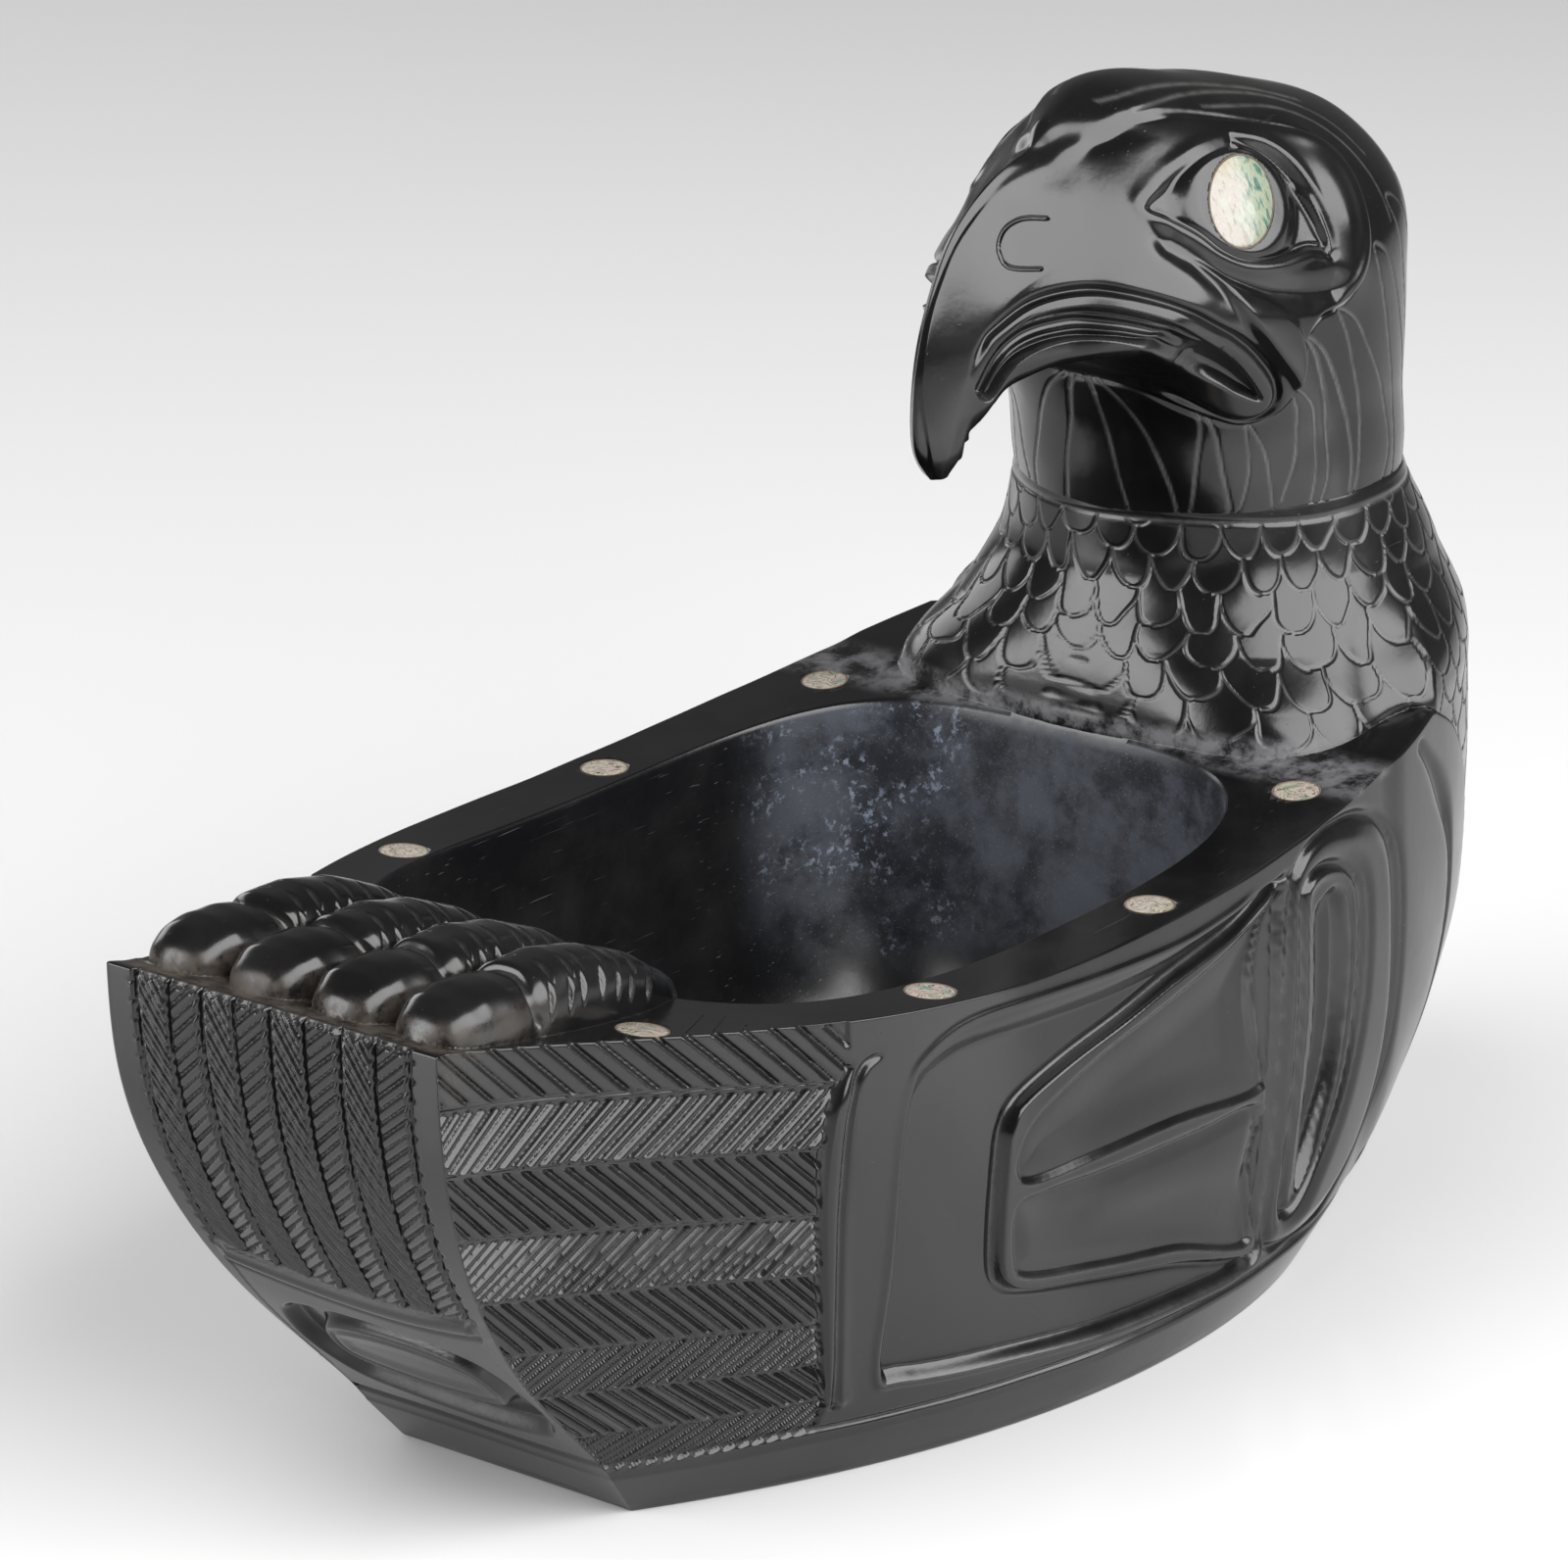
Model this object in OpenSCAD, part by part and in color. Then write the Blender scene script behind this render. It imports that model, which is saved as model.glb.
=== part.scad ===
// Carved stone bowl in the form of a bird lying on its back.
// Tail and toes at -X, head at +X, +Z up, origin at the centre of the foot's flat face.

/* [Overall] */
// Half length of the bowl from its middle to the tail edge
tail_reach = 165; // [155:1:180]
// Half length of the bowl from its middle to the bird's back
back_reach = 165; // [160:1:175]
// Largest half width of the bowl just under its rim
bowl_half_w = 69; // [66:1:74]

/* [Foot] */
// Height of the low foot
foot_h = 9; // [6:0.5:12]
// Half length of the foot's flat face
foot_reach = 105; // [98:1:108]
// Largest half width of the foot's flat face
foot_half_w = 63.5; // [58:0.5:65]

/* [Rim] */
// Height of the rim at its lowest point
rim_low = 88.5; // [84:0.5:94]
// Rise of the rim from its lowest point to the tail edge
rim_rise = 16; // [10:1:20]

/* [Cavity] */
// Half length of the cavity's mouth
cavity_half_l = 81; // [74:1:83]
// Half width of the cavity's mouth
cavity_half_w = 54.5; // [48:0.5:56]
// Height of the cavity's floor above the table
cavity_floor = 17; // [14:1:30]

/* [Talons] */
// Width of one toe
toe_w = 16.5; // [14:0.5:17]
// Distance between the middles of neighbouring toes
toe_pitch = 17.8; // [17:0.1:18.2]

/* [Inlays] */
// Diameter of a round shell disc in the rim
disc_d = 9.2; // [7:0.1:9.6]
// Thickness of a shell inlay
shell_t = 1.2; // [0.8:0.1:2]
// Thickness of the cement bed under a shell inlay
bed_t = 0.3; // [0.2:0.05:0.5]
// Width of an eye inlay, along the head
eye_w = 15; // [11:0.5:16]
// Height of an eye inlay
eye_h = 19; // [14:0.5:20]

/* [Hidden] */

STONE = [0.07, 0.07, 0.08];
SHELL = [0.80, 0.82, 0.74];
CEMENT = [0.28, 0.22, 0.16];
RIGHT = -1; // the bird's right wing lies towards -Y
LEFT = 1;

// ---- small shared functions ----
function mix(a, b, t) = a + (b - a) * t;
function clamp01(t) = min(1, max(0, t));
function smooth(t) = t * t * (3 - 2 * t);
function power(v, p) = v <= 0 ? 0 : pow(v, p);
// One coordinate of a superellipse: c is a cosine or sine, n the squareness
function squared(c, n) = sign(c) * power(abs(c), 2 / n);
// A smooth curve through the rows of a table, t running from 0 to the last row
function rowpick(table, i) = table[min(len(table) - 1, max(0, i))];
function spline(table, t) =
  let (i = min(len(table) - 2, floor(t)), u = t - i,
       a = rowpick(table, i - 1), b = rowpick(table, i),
       c = rowpick(table, i + 1), d = rowpick(table, i + 2))
  b + 0.5 * u * ((c - a) + u * ((2 * a - 5 * b + 4 * c - d) + u * (3 * b - a - 3 * c + d)));

// A closed solid skinned over rings that all have the same number of points.
// Each end is closed by strips across it, from one side of the ring to the other.
module skin(rings) {
  n = len(rings[0]);
  last = len(rings) - 1;
  points = [for (ring = rings) for (p = ring) p];
  sides = [for (j = [0:last - 1]) for (i = [0:n - 1]) let (k = (i + 1) % n)
    each [[j * n + i, (j + 1) * n + k, j * n + k], [j * n + i, (j + 1) * n + i, (j + 1) * n + k]]];
  half = floor((n - 1) / 2);
  strips = [for (i = [0:half - 1]) each (i + 1 == n - 2 - i
    ? [[i, i + 1, n - 1 - i]]
    : [[i, i + 1, n - 2 - i], [i, n - 2 - i, n - 1 - i]])];
  start_cap = strips;
  end_cap = [for (f = strips) [last * n + f[2], last * n + f[1], last * n + f[0]]];
  polyhedron(points = points, faces = concat(start_cap, end_cap, sides), convexity = 8);
}

// ---- the bowl's outside ----
tail_half_w = 35.5; // half width of the tail's top edge
tail_foot_half_w = 27.5; // half width of the tail panel where it meets the foot
foot_tail_half_w = 25.7; // half width of the foot's straight front edge
tail_under = 52.5; // how far the tail panel curves under the bowl
back_under = 51; // how far the bird's back curves under the bowl
rim_low_x = -15; // where the rim is lowest
side_steps = 14; // points from the tail's corner to the widest section
back_steps = 20; // points from the widest section to the middle of the back
level_steps = 10;

function rim_z(x) = rim_low + rim_rise * pow((x - rim_low_x) / (tail_reach + rim_low_x), 2);
function tail_x(t) = -tail_reach + tail_under * power(1 - power(t, 1.2), 2.4);
function tail_w(t) = mix(tail_foot_half_w, tail_half_w, (1 - cos(180 * min(1, t / 0.9))) / 2);
function back_x(t) = back_reach - back_under * power(1 - t, 3.4);
function side_w(t) = bowl_half_w - 1.5 * (1 - t) + 7 * t * (1 - t);
function widest_x(t) = mix(12, -10, t);
function back_square(t) = mix(2.1, 2.2, min(1, 2 * t)); // squareness of the back's plan curve

// Half of the plan outline, from the tail's corner (x0, w0) by the widest point (x1, w1) to the back at x2
function half_outline(x0, w0, x1, w1, x2, t) = concat(
  [for (i = [0:side_steps - 1]) let (u = 1 - i / side_steps, g = mix(u * u, power(smooth(u), 1.8), t))
    [mix(x1, x0, u), w1 - (w1 - w0) * g]],
  [for (i = [0:back_steps]) let (a = 90 * i / back_steps)
    [x1 + (x2 - x1) * squared(sin(a), back_square(t)), w1 * squared(cos(a), back_square(t))]]);
function outline(half) = concat(
  [for (p = half) [p.x, -p.y]],
  [for (i = [len(half) - 2:-1:0]) half[i]]);
function foot_ring() = [for (p = outline(half_outline(
    -foot_reach, foot_tail_half_w, 10, foot_half_w, foot_reach, 0))) [p.x, p.y, 0]];
// t is 0 at the top of the foot and 1 at the rim
function bowl_ring(t) = [for (p = outline(half_outline(
    tail_x(t), tail_w(t), widest_x(t), side_w(t), back_x(t), t)))
  [p.x, p.y, mix(foot_h, min(rim_z(p.x), 100 + 10 * clamp01(-p.x / 100)), t)]];

module bowl_outside() {
  skin(concat([foot_ring()], [for (i = [0:level_steps]) bowl_ring(i / level_steps)]));
}

// ---- the bowl's inside ----
cavity_x = -21; // middle of the cavity's mouth
cavity_steps = 52;
cavity_levels = 8;
mouth_over = 12; // how far the cutting shape stands above the rim

function cavity_ring(scale, depth) = [for (i = [0:cavity_steps - 1]) let (
    a = 360 * (i + 0.5) / cavity_steps,
    x = cavity_x + cavity_half_l * scale * squared(cos(a), 3.6),
    y = cavity_half_w * scale * squared(sin(a), 3.6))
  [x, y, mix(rim_z(x), cavity_floor, depth)]];
module cavity() {
  mouth = [for (p = cavity_ring(1, 0)) [p.x, p.y, rim_low + rim_rise + mouth_over]];
  walls = [for (i = [0:cavity_levels]) let (a = 90 * i / cavity_levels)
    cavity_ring(1 - 0.16 * sin(a) * sin(a) - 0.62 * power(1 - cos(a), 2.4), power(sin(a), 0.75))];
  // the cutting shape goes down, so its rings are taken from the floor up
  skin([for (i = [len(walls) - 1:-1:0]) walls[i], mouth]);
}

// ---- torso, neck, head and beak ----
// Each station is a cross section: front x, z, back x, z, half width,
// squareness of its front and of its back, and how much it narrows to the back
TORSO = [
  [66, 60, 150, 60, 44, 3.0, 2.1, 0.10],
  [60, 92, 161, 92, 50, 4.0, 2.1, 0.12],
  [60, 100, 160, 100, 48.5, 3.4, 2.1, 0.10],
  [63, 109, 157, 109, 44.5, 2.6, 2.1, 0.04],
  [68.5, 121, 151, 121, 41, 2.1, 2.1, 0],
  [69, 135, 144, 135, 37.2, 2.0, 2.1, 0]
];
HEAD = [
  [68.5, 133, 143, 133, 36.5, 2.0, 2.1, 0],
  [64, 150, 145, 150, 37, 2.1, 2.1, 0],
  [60, 162, 146, 172, 36.5, 2.6, 2.2, 0],
  [56, 166, 143, 190, 35.5, 3.0, 2.4, 0],
  [52, 168, 131, 203, 33, 3.2, 2.3, 0.05],
  [48, 169, 111, 209.5, 30.5, 3.4, 2.3, 0.05],
  [44, 169.8, 89, 214, 26.5, 3.4, 2.2, 0.12],
  [40, 169.8, 68, 215.5, 20, 3.4, 2.0, 0.22],
  [36, 169, 50.5, 209.5, 13.5, 3.4, 1.6, 0.30],
  [32, 167, 34.4, 203.5, 9, 3.2, 1.4, 0.40],
  [29, 165, 22, 195.5, 7, 3.0, 1.4, 0.40],
  [26, 161.5, 14.5, 184, 5.5, 2.6, 1.4, 0.40],
  [24.5, 158, 10.5, 171, 4.2, 2.1, 1.5, 0.30],
  [23, 154.5, 10.5, 158, 3.2, 2.1, 1.7, 0.20],
  [20, 151.5, 15.5, 151, 1.4, 2.1, 1.9, 0]
];
section_steps = 36;
stations_between = 2; // rings for each row of a table

function section_ring(s) = [for (i = [0:section_steps - 1]) let (
    a = 360 * (i + 0.5) / section_steps, c = cos(a), n = c < 0 ? s[5] : s[6],
    along = squared(c, n), across = squared(sin(a), n) * s[4] * (1 - s[7] * along))
  [mix(s[0], s[2], (1 + along) / 2), across, mix(s[1], s[3], (1 + along) / 2)]];
function section_rings(table) = [for (i = [0:(len(table) - 1) * stations_between])
  section_ring(spline(table, i / stations_between))];

module bird() {
  skin(section_rings(TORSO));
  skin(section_rings(HEAD));
}

// ---- toes ----
toe_front_x = -152; // middle of the claw's round front end
toe_back_x = -99; // where a toe's tip hangs over the cavity's edge
toe_top = 10; // rise of a toe's middle above the rim
function toe_y(i) = (i - 1.5) * toe_pitch;

module toe(i) {
  r = toe_w / 2;
  // each row: x, height above the rim, radius
  knuckles = [[toe_front_x, 1.5, r - 0.6], [toe_front_x + 17, 5.5, r], [toe_back_x - 17, 4, r - 0.6],
              [toe_back_x, -2, r - 3]];
  for (k = [0:len(knuckles) - 2]) hull() for (m = [k, k + 1]) let (p = knuckles[m])
    translate([p[0], toe_y(i), rim_z(p[0]) + p[1]]) sphere(r = p[2], $fn = 16);
}

// ---- inlays ----
// Middle of each disc along the bowl and its distance from the middle line
DISCS = [[-119.6, 40.6], [-64, 58.2], [-2.8, 61.4], [55.8, 54]];
eye_at = [74.5, 26.8, 195];
eye_turn = 77; // the eye faces outward and a little to the front
eye_tilt = 27; // and a little up
eye_roll = 38; // its long axis leans towards the back of the head

module on_rim(i, side) {
  p = DISCS[i];
  lean = atan(2 * rim_rise * (p[0] - rim_low_x) / pow(tail_reach + rim_low_x, 2));
  translate([p[0], side * p[1], rim_z(p[0])]) rotate([0, -lean, 0]) children();
}
module on_eye(side) {
  translate([eye_at.x, side * eye_at.y, eye_at.z]) rotate([0, 0, side * (90 + 90 - eye_turn)])
    rotate([0, 90 - eye_tilt, 0]) rotate([0, 0, 90 + side * eye_roll]) children();
}
module oval(w, h, t) {
  linear_extrude(t) polygon([for (a = [0:7.5:352.5]) [w / 2 * cos(a), h / 2 * sin(a)]]);
}
module rim_disc(i, side) {
  color(SHELL) on_rim(i, side) translate([0, 0, -shell_t]) cylinder(d = disc_d, h = shell_t, $fn = 64);
}
module rim_bed(i, side) {
  color(CEMENT) on_rim(i, side) translate([0, 0, -shell_t - bed_t]) cylinder(d = disc_d, h = bed_t, $fn = 64);
}
module eye_shell(side) {
  color(SHELL) on_eye(side) translate([0, 0, -shell_t]) oval(eye_w, eye_h, shell_t);
}
module eye_bed(side) {
  color(CEMENT) on_eye(side) translate([0, 0, -shell_t - bed_t]) oval(eye_w, eye_h, bed_t);
}

// ---- the carved block ----
pocket_over = 6; // how far a pocket's cutting shape stands proud of the surface
pocket_play = 0.05; // room round an inlay in its pocket

module bowl_body() {
  color(STONE) difference() {
    union() {
      difference() {
        bowl_outside();
        cavity();
      }
      bird();
      for (i = [0:3]) toe(i);
    }
    for (side = [LEFT, RIGHT]) {
      for (i = [0:3]) on_rim(i, side) translate([0, 0, -shell_t - bed_t])
        cylinder(d = disc_d + 2 * pocket_play, h = shell_t + bed_t + 1, $fn = 32);
      on_eye(side) translate([0, 0, -shell_t - bed_t])
        oval(eye_w + 2 * pocket_play, eye_h + 2 * pocket_play, shell_t + bed_t + pocket_over);
    }
  }
}

module rim_disc_right_1() { rim_disc(0, RIGHT); }
module rim_disc_right_2() { rim_disc(1, RIGHT); }
module rim_disc_right_3() { rim_disc(2, RIGHT); }
module rim_disc_right_4() { rim_disc(3, RIGHT); }
module rim_disc_left_1() { rim_disc(0, LEFT); }
module rim_disc_left_2() { rim_disc(1, LEFT); }
module rim_disc_left_3() { rim_disc(2, LEFT); }
module rim_disc_left_4() { rim_disc(3, LEFT); }
module rim_bed_right_1() { rim_bed(0, RIGHT); }
module rim_bed_right_2() { rim_bed(1, RIGHT); }
module rim_bed_right_3() { rim_bed(2, RIGHT); }
module rim_bed_right_4() { rim_bed(3, RIGHT); }
module rim_bed_left_1() { rim_bed(0, LEFT); }
module rim_bed_left_2() { rim_bed(1, LEFT); }
module rim_bed_left_3() { rim_bed(2, LEFT); }
module rim_bed_left_4() { rim_bed(3, LEFT); }
module eye_shell_right() { eye_shell(RIGHT); }
module eye_shell_left() { eye_shell(LEFT); }
module eye_bed_right() { eye_bed(RIGHT); }
module eye_bed_left() { eye_bed(LEFT); }

bowl_body();
rim_disc_right_1();
rim_disc_right_2();
rim_disc_right_3();
rim_disc_right_4();
rim_disc_left_1();
rim_disc_left_2();
rim_disc_left_3();
rim_disc_left_4();
rim_bed_right_1();
rim_bed_right_2();
rim_bed_right_3();
rim_bed_right_4();
rim_bed_left_1();
rim_bed_left_2();
rim_bed_left_3();
rim_bed_left_4();
eye_shell_right();
eye_shell_left();
eye_bed_right();
eye_bed_left();
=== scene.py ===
import math

import bpy
import numpy as np
from mathutils import Matrix, Vector


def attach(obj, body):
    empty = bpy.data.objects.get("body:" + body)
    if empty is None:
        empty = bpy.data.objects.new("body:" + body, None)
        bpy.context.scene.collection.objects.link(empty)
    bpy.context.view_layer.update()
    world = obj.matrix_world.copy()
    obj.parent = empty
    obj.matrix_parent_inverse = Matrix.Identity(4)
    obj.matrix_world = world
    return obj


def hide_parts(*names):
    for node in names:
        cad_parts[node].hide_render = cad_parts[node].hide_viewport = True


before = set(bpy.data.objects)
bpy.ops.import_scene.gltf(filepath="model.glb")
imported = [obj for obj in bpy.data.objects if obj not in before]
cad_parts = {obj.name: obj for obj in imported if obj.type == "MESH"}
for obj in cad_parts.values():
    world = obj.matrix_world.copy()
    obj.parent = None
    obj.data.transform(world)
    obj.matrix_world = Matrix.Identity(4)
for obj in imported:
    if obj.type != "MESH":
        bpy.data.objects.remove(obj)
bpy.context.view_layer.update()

MM = 0.001
RIGHT, LEFT = -1, 1  # the bird's right wing is on the -Y side
COARSE = 1

# ---------------------------------------------------------------- shared maths


def mix(a, b, t):
    return a + (b - a) * t


def smooth(t):
    t = np.clip(t, 0, 1)
    return t * t * (3 - 2 * t)


def ramp(lo, hi, v):
    return smooth((v - lo) / (hi - lo))


def power(v, p):
    return np.maximum(v, 0) ** p


def squared(c, n):
    return np.sign(c) * np.abs(c) ** (2 / n)


def wave(p, size, seed=0.0):
    """A slow, repeatable waviness between about -1 and 1; p holds x, y, z in mm."""
    x, y, z = p[..., 0] / size, p[..., 1] / size, p[..., 2] / size
    return (np.sin(2.1 * x + 1.3 * y + seed) + np.sin(1.7 * y - 2.3 * z + 2.7 * seed)
            + np.sin(1.9 * z + 2.9 * x - 1.1 * seed)) / 3


def between(a, b, c, d, u):
    """Point at share u of the way from b to c, on a smooth line through a, b, c and d."""
    return b + 0.5 * u * ((c - a) + u * ((2 * a - 5 * b + 4 * c - d) + u * (3 * b - a - 3 * c + d)))


def mirrored(half):
    """A closed outline from its right half, whose first and last points lie on the middle line."""
    return half + [(-y, z) for y, z in half[-2:0:-1]]


def round_curve(points, closed=False, steps=7):
    """A smooth line through hand-set points."""
    p = np.array(points, float)
    n = len(p)
    out = []
    for i in range(n if closed else n - 1):
        a, b, c, d = (p[(i + k) % n] if closed else p[min(max(i + k, 0), n - 1)] for k in (-1, 0, 1, 2))
        for s in range(steps):
            out.append(between(a, b, c, d, s / steps))
    if not closed:
        out.append(p[-1])
    return np.array(out)


def near_line(px, pz, line, reach):
    """The points within reach of the box round a line."""
    return ((px > line[:, 0].min() - reach) & (px < line[:, 0].max() + reach)
            & (pz > line[:, 1].min() - reach) & (pz < line[:, 1].max() + reach))


def line_distance(px, pz, line, closed=False, reach=9):
    """Distance to a line of points; anything farther off than reach simply counts as far."""
    near = near_line(px, pz, line, reach)
    qx, qz = px[near], pz[near]
    best = np.full(qx.shape, 9801.0)
    ends = np.roll(line, -1, 0) if closed else line[1:]
    for a, b in zip(line, ends):
        d = b - a
        length = d @ d
        if length < 1e-12:
            continue
        t = np.clip(((qx - a[0]) * d[0] + (qz - a[1]) * d[1]) / length, 0, 1)
        best = np.minimum(best, (qx - a[0] - t * d[0]) ** 2 + (qz - a[1] - t * d[1]) ** 2)
    far = np.full(px.shape, 99.0)
    far[near] = np.sqrt(best)
    return far


def inside(px, pz, line):
    near = near_line(px, pz, line, 0)
    qx, qz = px[near], pz[near]
    odd = np.zeros(qx.shape, bool)
    for a, b in zip(line, np.roll(line, -1, 0)):
        if a[1] == b[1]:
            continue
        crosses = (a[1] > qz) != (b[1] > qz)
        odd ^= crosses & (qx < (b[0] - a[0]) * (qz - a[1]) / (b[1] - a[1]) + a[0])
    result = np.zeros(px.shape, bool)
    result[near] = odd
    return result


def depth_in(px, pz, line):
    """Distance to a closed line: positive inside it, negative outside."""
    d = line_distance(px, pz, line, True)
    return np.where(inside(px, pz, line), np.minimum(d, 60), -d)


def bell(d, width):
    """One on the line, falling away softly on both sides."""
    return np.exp(-((d / width) ** 2))


def groove(d, width, depth):
    return -depth * bell(d, width)


# ---------------------------------------------------------------- mesh building


def grid_faces(rows, cols, start=0, flip=False):
    i = np.arange(cols)
    k = (i + 1) % cols
    faces = []
    for j in range(rows - 1):
        a, b = start + j * cols, start + (j + 1) * cols
        f = np.stack([a + i, a + k, b + k, b + i], 1)
        faces.append(f[:, ::-1] if flip else f)
    return np.concatenate(faces)


def fan_faces(cols, start, centre, flip=False):
    i = np.arange(cols)
    k = (i + 1) % cols
    f = np.stack([start + i, start + k, np.full(cols, centre)], 1)
    return f[:, ::-1] if flip else f


def end_fans(rows, cols):
    """Triangles that close a grid's first and last rows to the two points after it."""
    first = fan_faces(cols, 0, rows * cols, True)
    return np.concatenate([first, fan_faces(cols, (rows - 1) * cols, rows * cols + 1)])


def solid(name, verts, quads, tris=None, attributes=None):
    mesh = bpy.data.meshes.new(name)
    tris = np.zeros((0, 3), int) if tris is None else tris
    loops = np.concatenate([quads.ravel(), tris.ravel()]).astype(np.int32)
    counts = np.concatenate([np.full(len(quads), 4), np.full(len(tris), 3)]).astype(np.int32)
    starts = np.concatenate([[0], np.cumsum(counts)[:-1]]).astype(np.int32)
    mesh.vertices.add(len(verts))
    mesh.vertices.foreach_set("co", (verts * MM).astype(np.float32).ravel())
    mesh.loops.add(len(loops))
    mesh.loops.foreach_set("vertex_index", loops)
    mesh.polygons.add(len(counts))
    mesh.polygons.foreach_set("loop_start", starts)
    mesh.update(calc_edges=True)
    mesh.validate()
    for key, values in (attributes or {}).items():
        layer = mesh.attributes.new(key, "FLOAT", "POINT")
        layer.data.foreach_set("value", np.asarray(values, np.float32))
    mesh.polygons.foreach_set("use_smooth", np.ones(len(mesh.polygons), bool))
    obj = bpy.data.objects.new(name, mesh)
    bpy.context.scene.collection.objects.link(obj)
    return obj


def grid_normals(p, out_from):
    """Unit normals of a grid that closes round its columns, facing away from out_from."""
    du = np.roll(p, -1, 1) - np.roll(p, 1, 1)
    dv = np.gradient(p, axis=0)
    n = np.cross(du, dv)
    n /= np.maximum(np.linalg.norm(n, axis=2, keepdims=True), 1e-9)
    if np.mean(np.sum(n * (p - out_from), 2)) < 0:
        n = -n
    return n


# ---------------------------------------------------------------- the bowl's outline, as in the CAD

FOOT_H, RIM_LOW, RIM_RISE, TAIL, REAR = 9, 88.5, 16, 165, 165
RIM_LOW_X = -15
CAVITY_X, CAVITY_L, CAVITY_W, CAVITY_FLOOR, CAVITY_SQUARE = -21, 81, 54.5, 17, 3.6


def rim_z(x):
    return RIM_LOW + RIM_RISE * ((x - RIM_LOW_X) / (TAIL + RIM_LOW_X)) ** 2


def rim_top(x):
    """Height of the rim's flat; towards the head it stays at 100 mm at most."""
    return np.minimum(rim_z(x), 100 + 10 * np.clip(-x / 100, 0, 1))


def tail_x(t):
    return -TAIL + 52.5 * power(1 - power(t, 1.2), 2.4)


def tail_w(t):
    return mix(27.5, 35.5, (1 - np.cos(np.pi * np.minimum(1, t / 0.9))) / 2)


def back_x(t):
    return REAR - 51 * power(1 - t, 3.4)


def side_w(t):
    return 69 - 1.5 * (1 - t) + 7 * t * (1 - t)


def widest_x(t):
    return mix(12, -10, t)


def back_square(t):
    return mix(2.1, 2.2, np.minimum(1, 2 * t))


N_TAIL = 240 // COARSE
N_FRONT = 520 // COARSE
N_BACK = 250 // COARSE


def outline(x0, w0, x1, w1, x2, t):
    """Rings of plan points, one row for each t: near side, far side, then across the tail."""
    x0, w0, x1, w1, x2, t = (np.atleast_1d(np.asarray(v, float))[:, None] + 0 * np.atleast_1d(t)[:, None]
                             for v in (x0, w0, x1, w1, x2, t))
    share = np.arange(N_FRONT)[None] / N_FRONT
    u = 1 - np.interp(share, [0, 0.6, 1], [0, 0.45, 1])  # closer together where the feathers are carved
    g = mix(u * u, power(smooth(u), 1.8), t)
    fx, fy = mix(x1, x0, u), w1 - (w1 - w0) * g
    a = np.pi / 2 * np.arange(N_BACK + 1)[None] / N_BACK
    n = back_square(t)
    bx, by = x1 + (x2 - x1) * squared(np.sin(a), n), w1 * squared(np.cos(a) + 1e-12, n)
    hx, hy = np.concatenate([fx, bx], 1), np.concatenate([fy, by], 1)
    ty = w0 * (1 - 2 * np.arange(1, N_TAIL)[None] / N_TAIL)
    x = np.concatenate([hx, hx[:, -2::-1], np.repeat(x0, N_TAIL - 1, 1)], 1)
    y = np.concatenate([-hy, hy[:, -2::-1], ty], 1)
    return x, y


def bowl_base(t):
    x, y = outline(tail_x(t), tail_w(t), widest_x(t), side_w(t), back_x(t), t)
    z = mix(FOOT_H, rim_top(x), np.atleast_1d(t)[:, None])
    return np.stack([x, y, z], 2)


# ---------------------------------------------------------------- carving on the bowl's sides and tail
# Outlines are x, z in mm on the side of the bowl, or y, z on the tail panel.

FIELD = round_curve([
    (-71, 21), (-74.5, 42), (-76.5, 64), (-75.3, 77), (-72, 82), (-64, 85.3), (-51, 85.6), (-27, 84),
    (-5, 83), (12, 84), (25, 86), (31.5, 84), (31, 70), (30.5, 55), (29.5, 38), (27.5, 22), (26, 13),
    (19, 11.8), (0, 13), (-20, 14), (-44, 16), (-65, 18)], True)
U_OUTER = round_curve([
    (31.5, 85), (15, 80.3), (-4, 77.6), (-22, 74.3), (-38, 71.2), (-48.5, 67.5), (-51.8, 63.5), (-52.6, 58),
    (-52, 46), (-50.2, 35.5), (-47, 31), (-40.5, 28.4), (-23, 25.2), (-2, 21), (24, 14.2), (23, 25),
    (22, 35), (26, 45), (22, 58), (20.4, 69), (23.6, 79)], True)
U_TOP = round_curve([
    (28, 83), (12, 78.3), (-4, 75), (-22, 72), (-36, 68.4), (-44.8, 64.6), (-49, 60.5), (-50, 54),
    (-45, 50.6), (-27, 50.4), (-5, 49.6), (24, 46.8), (20.5, 58), (19, 69), (22, 78)], True)
U_LOW = round_curve([
    (-49, 47.5), (-48, 37), (-43.5, 31.8), (-24, 28), (-2, 23.8), (22.5, 16.5), (20.8, 31), (23, 44.6),
    (3, 46.8), (-26, 48.4), (-42, 49)], True)
OVOID_OUT = round_curve([
    (33, 79), (36, 86), (43, 89), (52, 89.6), (61, 88.4), (69, 84.5), (74, 77), (75.6, 62), (75.6, 46),
    (72.5, 31), (66, 20), (56, 13.5), (45, 11.5), (35, 12), (29, 14.5), (28, 22), (29.8, 38),
    (31.2, 60)], True)
OVOID_IN = round_curve([
    (36.8, 75.6), (38.9, 81.6), (45.6, 83.2), (54, 80.4), (59, 74), (59, 58), (56.6, 44), (51, 32),
    (43, 22), (36, 18.3), (33, 22), (34, 37), (36, 55)], True)
OVOID_CORE = round_curve([
    (41.3, 74), (45, 78), (50.5, 78.2), (54.6, 73), (55, 58.5), (52.4, 43), (46.8, 31), (41, 22),
    (37.8, 21.6), (38, 35), (40.5, 54)], True)
HOOK = round_curve([
    (-82.5, 85.2), (-85, 83.6), (-86.8, 80), (-88, 71), (-87.2, 56), (-84.5, 41), (-80.3, 25), (-78, 16)])
FEATHER_END = round_curve([
    (-88, 84), (-90.5, 80), (-92, 75), (-92.3, 66), (-91.2, 56.5), (-88, 41.5), (-83.6, 26.5), (-80, 17)])
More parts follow.
